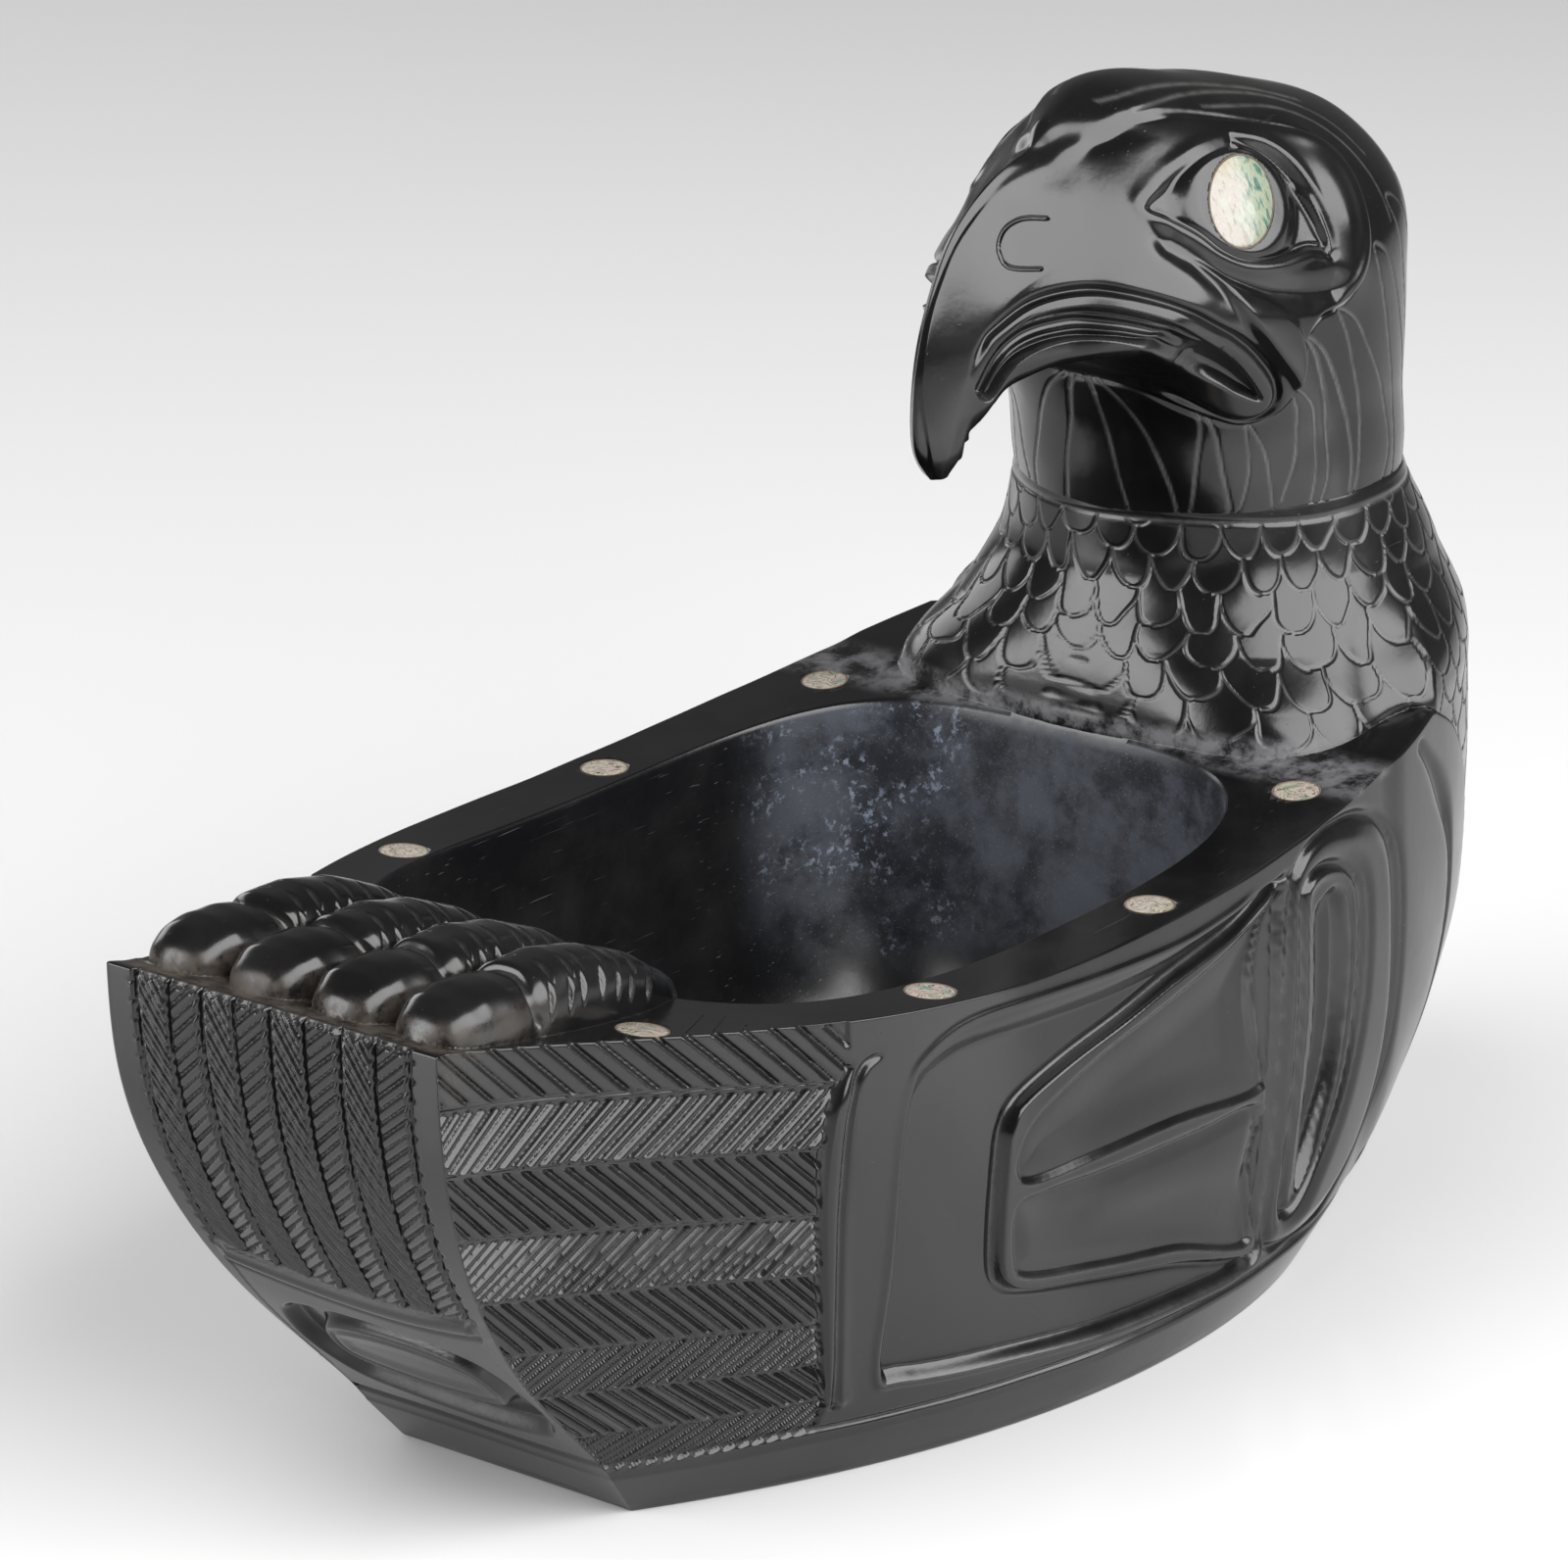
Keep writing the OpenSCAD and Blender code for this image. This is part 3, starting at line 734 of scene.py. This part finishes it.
def head_mesh():
    around, rows = 560 // COARSE, 560 // COARSE
    grid = even_rings(HEAD, around, rows)
    normals = grid_normals(grid, np.array([90.0, 0, 185]))
    normals = head_normals(grid, normals)
    x, y, z = grid[..., 0], np.abs(grid[..., 1]), grid[..., 2]
    flank = ramp(0.25, 0.6, np.abs(normals[..., 1]))
    side = ramp(0.2, 0.45, np.abs(normals[..., 1]))
    h = np.zeros(x.shape)
    light = np.zeros(x.shape)

    # the crown is a cap proud of the beak in front; behind the cheek the neck lies lower than the face
    face = depth_in(x, z, FACE)
    off_face = 1 - smooth((face + 0.35) / 0.8)
    crown = mix(1.7, -1.0, ramp(50, 96, x))
    level = mix(-1.1, crown, ramp(190, 202, z)) * ramp(138, 152, z)
    h += off_face * level * ramp(46, 49.5, x)
    h += groove(face + 0.3, 0.5, 0.55) * ramp(150, 156, z) * ramp(50, 55, x)
    h += 0.5 * bell(face - 1.6, 1.5) * ramp(84, 100, x)
    h += -0.5 * ramp(30, 42, x) * ramp(49, 46, x) * ramp(198, 203, z)
    notch = depth_in(x, z, NOTCH)
    h += -0.9 * smooth((notch + 0.5) / 1.6)
    plane = depth_in(x, z, BEAK_PLANE)
    h += 0.35 * smooth((plane + 0.4) / 0.8) * ramp(0.12, 0.3, np.abs(normals[..., 1])) * ramp(66, 58, x)

    # eye: a ball flush with the shell inlay, in an almond hollow
    for_eye = np.array(eye_place(RIGHT).inverted())
    point = np.stack([x * MM, -y * MM, z * MM, np.ones(x.shape)], -1) @ for_eye.T
    above = point[..., 2] / MM
    straight = Matrix.Rotation(math.radians(-EYE_ROLL), 4, "Z") @ eye_place(RIGHT).inverted()
    flat = np.stack([x * MM, -y * MM, z * MM, np.ones(x.shape)], -1) @ np.array(straight).T
    ball = np.hypot(flat[..., 0] / MM / 12.5, flat[..., 1] / MM / 11.2)
    to_ball = np.clip(0.02 - 2.6 * ramp(0.80, 1.30, ball) - above, -4, 2)
    sock = depth_in(x, z, SOCKET)
    in_socket = smooth((sock + 0.6) / 2.0) * flank
    h = mix(h, np.maximum(to_ball, -2.4), in_socket)
    h += (0.3 * bell(sock + 1.2, 1.0) + groove(sock - 0.6, 0.6, 0.5)) * flank
    light += 0.12 * bell(sock, 0.3) * flank
    d = line_distance(x, z, SOCKET_FOLD)
    h += groove(d - 0.8, 0.7, 0.7) * flank
    brow = np.exp(-(((x - 100) / 5.5) ** 2 + ((z - 190) / 11) ** 2))
    under_brow = np.exp(-(((x - 92) / 12) ** 2 + ((z - 177) / 4.5) ** 2))
    h += (2.0 * brow + 0.8 * under_brow) * flank * (1 - in_socket)
    d = line_distance(x, z, VALLEY)
    h += groove(d, 3.0, 1.7) * flank * (1 - in_socket)
    jaw = depth_in(x, z, JAW)
    h += 1.7 * smooth((jaw + 0.5) / 2.4) * flank
    d = line_distance(x, z, NOSTRIL)
    h += groove(d, 0.24, 0.5) * flank

    slot = depth_in(x, z, SLOT)
    lip = line_distance(x, z, LIP)
    h += groove(lip, 0.75, 1.3) * side * ramp(19, 24, x)
    h += -3.0 * smooth((slot + 0.2) / 0.9) * side
    tongue = line_distance(x, z, TONGUE)
    h += 0.9 * bell(tongue - 1.5, 0.7) * smooth(slot / 0.6) * side
    light += 0.2 * bell(slot, 0.3) * side

    for line in CROWN_LINES:
        d = line_distance(x, z, round_curve(line))
        cut = bell(d, 0.27) * (face < -0.6)
        h += -0.2 * cut
        light += 0.6 * cut
    phi = np.degrees(np.arctan2(y, 106 - x))
    below = (z < 196) & (face < -0.4) & ((x > 60) | (z < 162)) & (slot < 0)
    for loop in NECK_LOOPS:
        line = round_curve(loop)
        line[:, 0] *= 0.65
        d = line_distance(0.65 * phi + 0.25 * wave(grid, 5), z, line)
        cut = bell(d, 0.27) * below
        h += -0.25 * cut
        light += 0.8 * cut
    # the ridge where the crown meets the beak is worn soft
    soft = h.copy()
    for _ in range(24 // COARSE):
        soft = (np.roll(soft, 1, 1) + 2 * soft + np.roll(soft, -1, 1)) / 4
        soft[1:-1] = (soft[:-2] + 2 * soft[1:-1] + soft[2:]) / 4
    h = mix(h, soft, ramp(196, 201, z) * ramp(68, 60, x))
    # saw teeth inside the beak's tip
    teeth = ramp(0.1, 0.5, normals[..., 0]) * ramp(165, 161, z) * (x < 34)
    h += -1.1 * teeth * ((z - 151) / 3.3 % 1)
    h += 0.12 * wave(grid, 9, 1.4)
    grid = grid + normals * h[..., None]
    return closed_loft("head", grid, {"line": np.clip(light, 0, 1), "hollow": 0 * light})


def head_normals(grid, normals):
    """Points every normal of the bent loft outward, whatever way its ring runs."""
    centre = grid.mean(1, keepdims=True)
    wrong = np.sum(normals * (grid - centre), 2) < 0
    normals[wrong] *= -1
    return normals


TOE_PITCH, TOE_START, TOE_LENGTH, TOE_SQUARE = 17.8, -160.5, 65, 2.5


def toe_mesh(index):
    """One toe: a smooth claw at the tail, a collar, then a notched toe tapering over the cavity's edge."""
    y0 = (index - 1.5) * TOE_PITCH
    around, rows = 140 // COARSE, 200 // COARSE
    s = np.linspace(0, 1, rows)
    s = s + 0.03 * np.sin(2 * np.pi * s)
    s = (s - s[0]) / (s[-1] - s[0])
    x = TOE_START + TOE_LENGTH * s
    key = np.array([0, 0.015, 0.04, 0.09, 0.16, 0.25, 0.31, 0.335, 0.37, 0.5, 0.65, 0.8, 0.92, 0.98, 1.0])
    rise = np.interp(s, key, [-1, 2.4, 4.8, 7.2, 8.8, 9.6, 9.5, 9.2, 10.8, 12.1, 11.6, 9.0, 5.0, 2.4, -1.0])
    width = np.interp(s, key, [0.2, 4.4, 6.2, 7.5, 8.1, 8.3, 8.1, 7.7, 8.3, 8.5, 8.1, 7.1, 5.3, 3.4, 0.4])
    for values in (rise, width):
        for _ in range(5 // COARSE):
            values[1:-1] = (values[:-2] + 2 * values[1:-1] + values[2:]) / 4
    top = rim_z(x) + rise
    low = rim_z(x) - 5
    a = 2 * np.pi * np.arange(around) / around
    z = (top + low)[:, None] / 2 + (top - low)[:, None] / 2 * squared(np.sin(a)[None], TOE_SQUARE)
    y = y0 + width[:, None] * squared(np.cos(a)[None], TOE_SQUARE)
    grid = np.stack([x[:, None] + 0 * z, y, z], 2)
    normals = grid_normals(grid, np.array([-128.0, y0, 98]))
    ss = s[:, None] + 0 * z
    collar = (ss - 0.335) * TOE_LENGTH + 0.8 * np.sin(a * 3 + index)[None]
    h = groove(collar, 0.8, 0.9)
    light = 0.25 * bell(collar, 0.6)
    # distance round the section from the toe's ridge, in mm
    theta = np.arctan2(y - y0, z - (top[:, None] - 8.5)) * 8.0
    for side in (-1, 1):
        for place, count, first, pitch in ((4.3, 7, 0.42, 0.068), (9.3, 7, 0.385, 0.066)):
            for k in range(count):
                dx = (ss - first - k * pitch) * TOE_LENGTH - 0.5 * math.sin(k * 2.3 + index)
                dt = theta * side - place - 0.5 * math.sin(k * 1.7 + 2 * index)
                q = np.abs(dx + 0.25 * dt) / 0.7 + (dt / 2.9) ** 2
                h += -0.8 * np.clip(1 - q, 0, 1)
                light += 0.35 * np.clip(1 - q, 0, 1)
    h += 0.12 * wave(grid, 4, index)
    near_rim = ramp(1.0, 2.5, z - rim_z(grid[..., 0]))
    grid = grid + normals * (h * near_rim * ramp(0, 0.06, ss) * ramp(1, 0.95, ss))[..., None]
    return closed_loft("toe", grid, {"line": np.clip(light, 0, 1), "hollow": 0 * light})


# ---------------------------------------------------------------- inlays

DISCS = [(-119.6, 40.6), (-64, 58.2), (-2.8, 61.4), (55.8, 54)]
DISC_R = 4.6
SHELL_T, BED_T, COLLAR, EYE_COLLAR = 1.2, 0.3, 0.38, 0.3
EYE_AT, EYE_TURN, EYE_TILT, EYE_ROLL, EYE_W, EYE_H = (74.5, 26.8, 195), 77, 27, 38, 15, 19


def rim_place(i, side):
    x, y = DISCS[i]
    lean = math.atan(2 * RIM_RISE * (x - RIM_LOW_X) / (TAIL + RIM_LOW_X) ** 2)
    return Matrix.Translation((x * MM, side * y * MM, rim_z(x) * MM)) @ Matrix.Rotation(-lean, 4, "Y")


def eye_place(side):
    x, y, z = EYE_AT
    return (Matrix.Translation((x * MM, side * y * MM, z * MM))
            @ Matrix.Rotation(math.radians(side * (180 - EYE_TURN)), 4, "Z")
            @ Matrix.Rotation(math.radians(90 - EYE_TILT), 4, "Y")
            @ Matrix.Rotation(math.radians(90 + side * EYE_ROLL), 4, "Z"))


def lathe(name, profile, rx, ry, place, ripple=0.0, around=96):
    """A closed turned piece with an oval plan: profile rows are share of radius, inset, height."""
    rings = []
    a = 2 * np.pi * np.arange(around) / around
    for share, inset, z in profile:
        x, y = (rx * share - inset) * np.cos(a), (ry * share - inset) * np.sin(a)
        zz = z + ripple * share * np.sin(5 * a + 3 * share) * (1 - share)
        rings.append(np.stack([x, y, zz + 0 * a], 1))
    grid = np.stack(rings)
    rows = len(grid)
    verts = np.concatenate([grid.reshape(-1, 3), [[0, 0, profile[0][2]]], [[0, 0, profile[-1][2]]]])
    obj = solid(name, verts, grid_faces(rows, around), end_fans(rows, around))
    obj.data.transform(place)
    return obj


def shell_profile(dome):
    """Bottom, side, rounded edge and a gently crowned polished top."""
    rows = [(0.5, 0, -SHELL_T), (1, 0.05, -SHELL_T), (1, 0, -SHELL_T + 0.1),
            (1, 0, -0.15), (1, 0.05, -0.04), (1, 0.18, 0.0)]
    rows += [(s, 0, dome * (1 - s * s)) for s in (0.92, 0.8, 0.65, 0.5, 0.35, 0.2, 0.08)]
    return rows


def bed_profile(wall):
    """A shallow cup of cement: floor under the shell and a thin collar round it."""
    z0 = -SHELL_T - BED_T
    return [(0.5, 0, z0), (1, 0, z0), (1, 0, -0.1), (1, 0.1, 0.04), (1, wall - 0.1, 0.02), (1, wall, -0.08),
            (1, wall, -SHELL_T), (0.5, 0, -SHELL_T)]


# ---------------------------------------------------------------- the carved block


def join_solids(base, others, operation):
    for other in others:
        mod = base.modifiers.new("join", "BOOLEAN")
        mod.operation = operation
        mod.solver = "MANIFOLD"
        mod.object = other
    depsgraph = bpy.context.evaluated_depsgraph_get()
    mesh = bpy.data.meshes.new_from_object(base.evaluated_get(depsgraph))
    base.modifiers.clear()
    old = base.data
    base.data = mesh
    bpy.data.meshes.remove(old)
    for other in others:
        data = other.data
        bpy.data.objects.remove(other)
        bpy.data.meshes.remove(data)


def pocket_profile():
    z0 = -SHELL_T - BED_T
    return [(0.5, 0, z0), (1, 0, z0), (1, 0, 3.0), (0.5, 0, 3.0)]


body = bowl_mesh()
join_solids(body, [torso_mesh(), head_mesh()] + [toe_mesh(i) for i in range(4)], "UNION")
pockets = [lathe("pocket", pocket_profile(), DISC_R, DISC_R, rim_place(i, side))
           for side in (RIGHT, LEFT) for i in range(4)]
pockets += [lathe("pocket", pocket_profile(), EYE_W / 2, EYE_H / 2, eye_place(side))
            for side in (RIGHT, LEFT)]
join_solids(body, pockets, "DIFFERENCE")
body.name = "carved_bowl"

# ---------------------------------------------------------------- materials


class Nodes:
    """Short ways to add and join shader nodes."""

    def __init__(self, name):
        self.material = bpy.data.materials.new(name)
        self.material.use_nodes = True
        self.tree = self.material.node_tree
        self.shader = next(n for n in self.tree.nodes if n.type == "BSDF_PRINCIPLED")

    def add(self, kind, **values):
        node = self.tree.nodes.new(kind)
        for key, value in values.items():
            if key in node.inputs:
                node.inputs[key].default_value = value
            else:
                setattr(node, key, value)
        return node

    def join(self, out, into):
        self.tree.links.new(out, into)

    def math(self, operation, a, b=None, clamp=False):
        node = self.tree.nodes.new("ShaderNodeMath")
        node.operation = operation
        node.use_clamp = clamp
        for socket, value in zip(node.inputs, (a, b)):
            if value is None:
                continue
            if isinstance(value, (int, float)):
                socket.default_value = value
            else:
                self.join(value, socket)
        return node.outputs[0]

    def times(self, first, *others):
        for other in others:
            first = self.math("MULTIPLY", first, other)
        return first

    def place(self):
        """x, y and z of the point, in metres."""
        node = self.add("ShaderNodeSeparateXYZ")
        self.join(self.coords(), node.inputs[0])
        return node.outputs

    def coords(self, scale=(1, 1, 1), rotation=(0, 0, 0)):
        source = self.add("ShaderNodeTexCoord")
        mapping = self.add("ShaderNodeMapping")
        mapping.inputs["Scale"].default_value = scale
        mapping.inputs["Rotation"].default_value = rotation
        self.join(source.outputs["Object"], mapping.inputs["Vector"])
        return mapping.outputs[0]

    def noise(self, scale, detail=3.0, roughness=0.5, vector=None):
        node = self.add("ShaderNodeTexNoise")
        node.inputs["Scale"].default_value = scale
        node.inputs["Detail"].default_value = detail
        node.inputs["Roughness"].default_value = roughness
        self.join(vector if vector is not None else self.coords(), node.inputs["Vector"])
        return node.outputs["Fac"]

    def steps(self, value, points):
        """Smooth ramp: points are position, grey level."""
        node = self.add("ShaderNodeMapRange")
        node.interpolation_type = "SMOOTHSTEP"
        (a, c), (b, d) = points
        for key, v in zip(("From Min", "From Max", "To Min", "To Max"), (a, b, c, d)):
            node.inputs[key].default_value = v
        self.join(value, node.inputs["Value"])
        return node.outputs[0]

    def rise(self, value, low, high):
        return self.steps(value, ((low, 0.0), (high, 1.0)))

    def fall(self, value, low, high):
        return self.steps(value, ((low, 1.0), (high, 0.0)))

    def bump(self, height, strength, distance):
        node = self.add("ShaderNodeBump")
        node.inputs["Strength"].default_value = strength
        node.inputs["Distance"].default_value = distance
        self.join(height, node.inputs["Height"])
        self.join(node.outputs[0], self.shader.inputs["Normal"])

    def blend(self, factor, a, b):
        node = self.add("ShaderNodeMix")
        node.data_type = "RGBA"
        ins = [s for s in node.inputs if s.type == "RGBA"]
        self.join(factor, node.inputs[0])
        for socket, value in zip(ins, (a, b)):
            if isinstance(value, tuple):
                socket.default_value = (*value, 1)
            else:
                self.join(value, socket)
        return next(s for s in node.outputs if s.type == "RGBA")

    def attribute(self, name):
        node = self.add("ShaderNodeAttribute")
        node.attribute_name = name
        return node.outputs["Fac"]


def scratches(m, length, rotation, amount):
    """Sparse straight scratches: bright streaks of a noise drawn out along one direction."""
    across = 1 / 0.0004
    n = m.noise(1.0, 1.0, 0.5, m.coords((1 / length, across, across), rotation))
    return m.steps(n, ((0.78 - amount, 0.0), (0.86 - amount, 1.0)))


def stone_material():
    m = Nodes("black_argillite")
    line, hollow = m.attribute("line"), m.attribute("hollow")
    px, py, pz = m.place()
    cloud = m.noise(38, 5, 0.6)
    fine = m.noise(420, 3, 0.6)
    # polished stone: near black with slow grey clouds
    tone = m.blend(m.rise(cloud, 0.35, 0.75), (0.0028, 0.0028, 0.0032), (0.0075, 0.0073, 0.0075))
    # matte blue-grey bloom on the hollow's rear wall, in patches and specks
    patch = m.rise(m.noise(48, 9, 0.70), 0.40, 0.62)
    speck = m.times(m.rise(m.noise(620, 5, 0.7), 0.52, 0.64), m.rise(m.noise(90, 3, 0.6), 0.46, 0.62))
    rear = m.times(m.rise(px, 0.022, 0.044), m.rise(pz, 0.030, 0.062))
    far_end = m.times(rear, m.rise(py, 0.012, 0.034))
    veil = m.times(m.math("ADD", m.times(patch, 0.75), 0.25), hollow, rear)
    tone = m.blend(m.times(veil, 0.62), tone, (0.066, 0.075, 0.098))
    tone = m.blend(m.times(speck, hollow, far_end, 0.7), tone, (0.22, 0.26, 0.33))
    # pale wear along the breast's lower edge
    edge = m.times(m.rise(pz, 0.0915, 0.0930), m.fall(pz, 0.0945, 0.0975), m.fall(px, 0.068, 0.076),
                   m.rise(px, 0.054, 0.058), m.rise(m.noise(130, 6, 0.7), 0.38, 0.62))
    tone = m.blend(m.times(edge, 0.5), tone, (0.20, 0.20, 0.21))
    # fine scratches from polishing, more of them inside the hollow
    rub = m.math("MAXIMUM", scratches(m, 0.030, (0.3, 0.35, 0.5), 0.02),
                 scratches(m, 0.022, (0.1, -0.75, 1.1), 0.02))
    wall_rub = m.math("MAXIMUM", scratches(m, 0.034, (0.2, 0.6, 0.15), 0.05),
                      scratches(m, 0.026, (0.1, -0.9, -0.5), 0.05))
    upright = scratches(m, 0.016, (0.1, 1.5, 0.2), 0.12)
    wall_rub = m.times(m.math("MAXIMUM", wall_rub, m.times(upright, rear)), hollow)
    tone = m.blend(m.times(rub, 0.22), tone, (0.10, 0.10, 0.105))
    tone = m.blend(m.times(wall_rub, 0.36), tone, (0.13, 0.14, 0.16))
    # graver lines hold pale stone dust
    broken = m.steps(m.noise(260, 4, 0.7), ((0.30, 0.45), (0.62, 1.0)))
    tone = m.blend(m.times(line, broken, 0.62), tone, (0.135, 0.13, 0.125))
    # brown dirt on the flat round the claws
    flat = m.times(m.rise(px, -0.1640, -0.1625), m.fall(px, -0.150, -0.128), m.rise(py, -0.037, -0.033),
                   m.fall(py, 0.033, 0.037), m.rise(pz, 0.0950, 0.0965), m.fall(pz, 0.1045, 0.1080))
    dirt = m.times(flat, m.steps(m.noise(190, 5, 0.7), ((0.35, 0.1), (0.6, 1.0))))
    tone = m.blend(m.times(dirt, 0.6), tone, (0.070, 0.055, 0.042))
    m.join(tone, m.shader.inputs["Base Color"])
    rough = m.math("ADD", m.steps(cloud, ((0.3, 0.13), (0.8, 0.24))), m.times(fine, 0.05))
    for part, amount in ((line, 0.2), (hollow, 0.10), (veil, 0.38), (edge, 0.3), (dirt, 0.4)):
        rough = m.math("ADD", rough, m.times(part, amount))
    m.join(m.math("MINIMUM", rough, 0.85), m.shader.inputs["Roughness"])
    m.shader.inputs["IOR"].default_value = 1.48
    height = m.math("ADD", m.times(m.math("MAXIMUM", rub, wall_rub), -0.3), m.times(fine, 0.35))
    height = m.math("ADD", height, m.times(m.noise(110, 4, 0.6), 0.8))
    m.bump(height, 0.22, 0.00025)
    return m.material


def colour_ramp(m, value, colours):
    node = m.add("ShaderNodeValToRGB")
    elements = node.color_ramp.elements
    while len(elements) < len(colours):
        elements.new(0.5)
    for e, (at, colour) in zip(elements, colours):
        e.position = at
        e.color = (*colour, 1)
    m.join(value, node.inputs[0])
    return node.outputs[0]


def finish_shell(m, colour, height, coat):
    m.join(colour, m.shader.inputs["Base Color"])
    m.shader.inputs["Roughness"].default_value = 0.24
    m.shader.inputs["Coat Weight"].default_value = coat
    m.shader.inputs["Coat Roughness"].default_value = 0.10
    m.bump(height, 0.3, 0.0002)
    return m.material


def eye_shell_material():
    """Abalone cut along its layers: upright streaks, creamy to the beak, lime and teal behind."""
    m = Nodes("abalone_streaked")
    lean = (0.0, -0.22, 0.0)
    streak = m.noise(1.0, 5, 0.62, m.coords((1150, 900, 95), lean))
    broad = m.noise(1.0, 3, 0.5, m.coords((330, 260, 120), lean))
    px, _, pz = m.place()
    pale = colour_ramp(m, streak, [
        (0.30, (0.059, 0.048, 0.034)), (0.40, (0.160, 0.135, 0.098)), (0.48, (0.199, 0.177, 0.143)),
        (0.56, (0.177, 0.138, 0.126)), (0.64, (0.222, 0.210, 0.177)), (0.74, (0.140, 0.126, 0.098))])
    green = colour_ramp(m, streak, [
        (0.30, (0.020, 0.048, 0.042)), (0.42, (0.042, 0.121, 0.098)), (0.50, (0.188, 0.222, 0.138)),
        (0.58, (0.238, 0.250, 0.188)), (0.66, (0.098, 0.177, 0.143)), (0.74, (0.210, 0.188, 0.132))])
    uneven = m.times(m.math("SUBTRACT", broad, 0.5), 2.4)
    behind = m.math("ADD", m.rise(px, 0.0715, 0.0790), uneven, True)
    colour = m.blend(behind, pale, green)
    gold = m.times(m.rise(pz, 0.1965, 0.2020), m.fall(px, 0.0740, 0.0790), m.rise(broad, 0.42, 0.56), 0.8)
    colour = m.blend(gold, colour, (0.143, 0.107, 0.031))
    return finish_shell(m, colour, streak, 0.6)


def disc_shell_material():
    """Small worn discs of the same shell, crossed by dark growth lines."""
    m = Nodes("abalone_swirled")
    flow = m.noise(170, 2, 0.5)
    tint = colour_ramp(m, m.noise(310, 3, 0.6), [
        (0.30, (0.150, 0.207, 0.148)), (0.42, (0.294, 0.250, 0.199)), (0.50, (0.337, 0.322, 0.271)),
        (0.58, (0.308, 0.214, 0.191)), (0.68, (0.121, 0.243, 0.213))])
    waves = m.math("ABSOLUTE", m.math("SINE", m.times(flow, 46.0)))
    rings = m.fall(waves, 0.10, 0.42)
    keep = m.steps(m.noise(420, 3, 0.6), ((0.34, 0.25), (0.56, 1.0)))
    colour = m.blend(m.times(rings, keep, 0.85), tint, (0.038, 0.024, 0.017))
    return finish_shell(m, colour, waves, 0.35)


def cement_material():
    m = Nodes("brown_cement")
    n = m.noise(900, 4, 0.7)
    m.join(m.blend(n, (0.045, 0.032, 0.022), (0.16, 0.12, 0.085)), m.shader.inputs["Base Color"])
    m.join(m.steps(n, ((0.3, 0.65), (0.7, 0.9))), m.shader.inputs["Roughness"])
    m.bump(n, 0.5, 0.00015)
    return m.material


stone, cement = stone_material(), cement_material()
eye_shell, disc_shell = eye_shell_material(), disc_shell_material()


def place_piece(obj, material, node):
    obj.data.materials.clear()
    obj.data.materials.append(material)
    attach(obj, "root")
    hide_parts(node)


place_piece(body, stone, "bowl_body")
for side, word in ((RIGHT, "right"), (LEFT, "left")):
    for i in range(4):
        disc = lathe(f"shell_disc_{word}_{i + 1}", shell_profile(0.10), DISC_R - COLLAR, DISC_R - COLLAR,
                     rim_place(i, side), 0.02)
        place_piece(disc, disc_shell, f"rim_disc_{word}_{i + 1}")
        ring = lathe(f"cement_ring_{word}_{i + 1}", bed_profile(COLLAR), DISC_R, DISC_R, rim_place(i, side))
        place_piece(ring, cement, f"rim_bed_{word}_{i + 1}")
    eye = lathe(f"shell_eye_{word}", shell_profile(0.7), EYE_W / 2 - EYE_COLLAR, EYE_H / 2 - EYE_COLLAR,
                eye_place(side), 0.04)
    place_piece(eye, eye_shell, f"eye_shell_{word}")
    ring = lathe(f"cement_eye_{word}", bed_profile(EYE_COLLAR), EYE_W / 2, EYE_H / 2, eye_place(side))
    place_piece(ring, cement, f"eye_bed_{word}")

# ---------------------------------------------------------------- floor, light, camera

FLOOR_R = 2.6
bpy.ops.mesh.primitive_circle_add(vertices=96, radius=FLOOR_R, fill_type="NGON", location=(0, 0, -0.0002))
floor = bpy.context.object
floor.name = "floor"
mf = Nodes("pale_floor")
mf.shader.inputs["Base Color"].default_value = (0.66, 0.66, 0.66, 1)
mf.shader.inputs["Roughness"].default_value = 0.16
floor.data.materials.append(mf.material)

world = bpy.data.worlds.new("studio")
bpy.context.scene.world = world
world.use_nodes = True
background = world.node_tree.nodes["Background"]
background.inputs["Color"].default_value = (1, 1, 1, 1)
background.inputs["Strength"].default_value = 0.13
bpy.context.scene.view_settings.view_transform = "Standard"

MIDDLE = Vector((0.02, 0.0, 0.12))


def soft_light(name, azimuth, elevation, distance, size, radiance):
    """A soft box facing the bowl from the given side."""
    a, e = math.radians(azimuth), math.radians(elevation)
    toward = Vector((math.cos(e) * math.cos(a), math.cos(e) * math.sin(a), math.sin(e)))
    data = bpy.data.lights.new(name, "AREA")
    data.shape = "RECTANGLE"
    data.size, data.size_y = size
    data.energy = radiance * math.pi * size[0] * size[1]
    light = bpy.data.objects.new(name, data)
    bpy.context.scene.collection.objects.link(light)
    light.location = MIDDLE + toward * distance
    light.rotation_euler = toward.to_track_quat("Z", "Y").to_euler()
    return light


soft_light("near_side_box", -88, 34, 2.3, (3.2, 2.1), 7.0)
soft_light("tail_side_box", 152, 17, 2.2, (1.4, 1.2), 7.5)
soft_light("far_side_box", 78, 14, 2.0, (1.2, 0.7), 2.6)
# a broad soft fill for the pale floor alone; it is not mirrored in the polish
soft_light("floor_fill", 140, 62, 1.9, (1.8, 1.8), 2.5).visible_glossy = False

camera_data = bpy.data.cameras.new("camera")
camera_data.lens = 144
camera_data.sensor_width = 36
camera_data.clip_start = 0.05
camera = bpy.data.objects.new("camera", camera_data)
bpy.context.scene.collection.objects.link(camera)
camera.location = (-0.8646, -0.6363, 0.4671)
azimuth, elevation = math.radians(-52.74), math.radians(18.97)
camera.rotation_euler = (math.pi / 2 - elevation, 0, azimuth)
bpy.context.scene.camera = camera
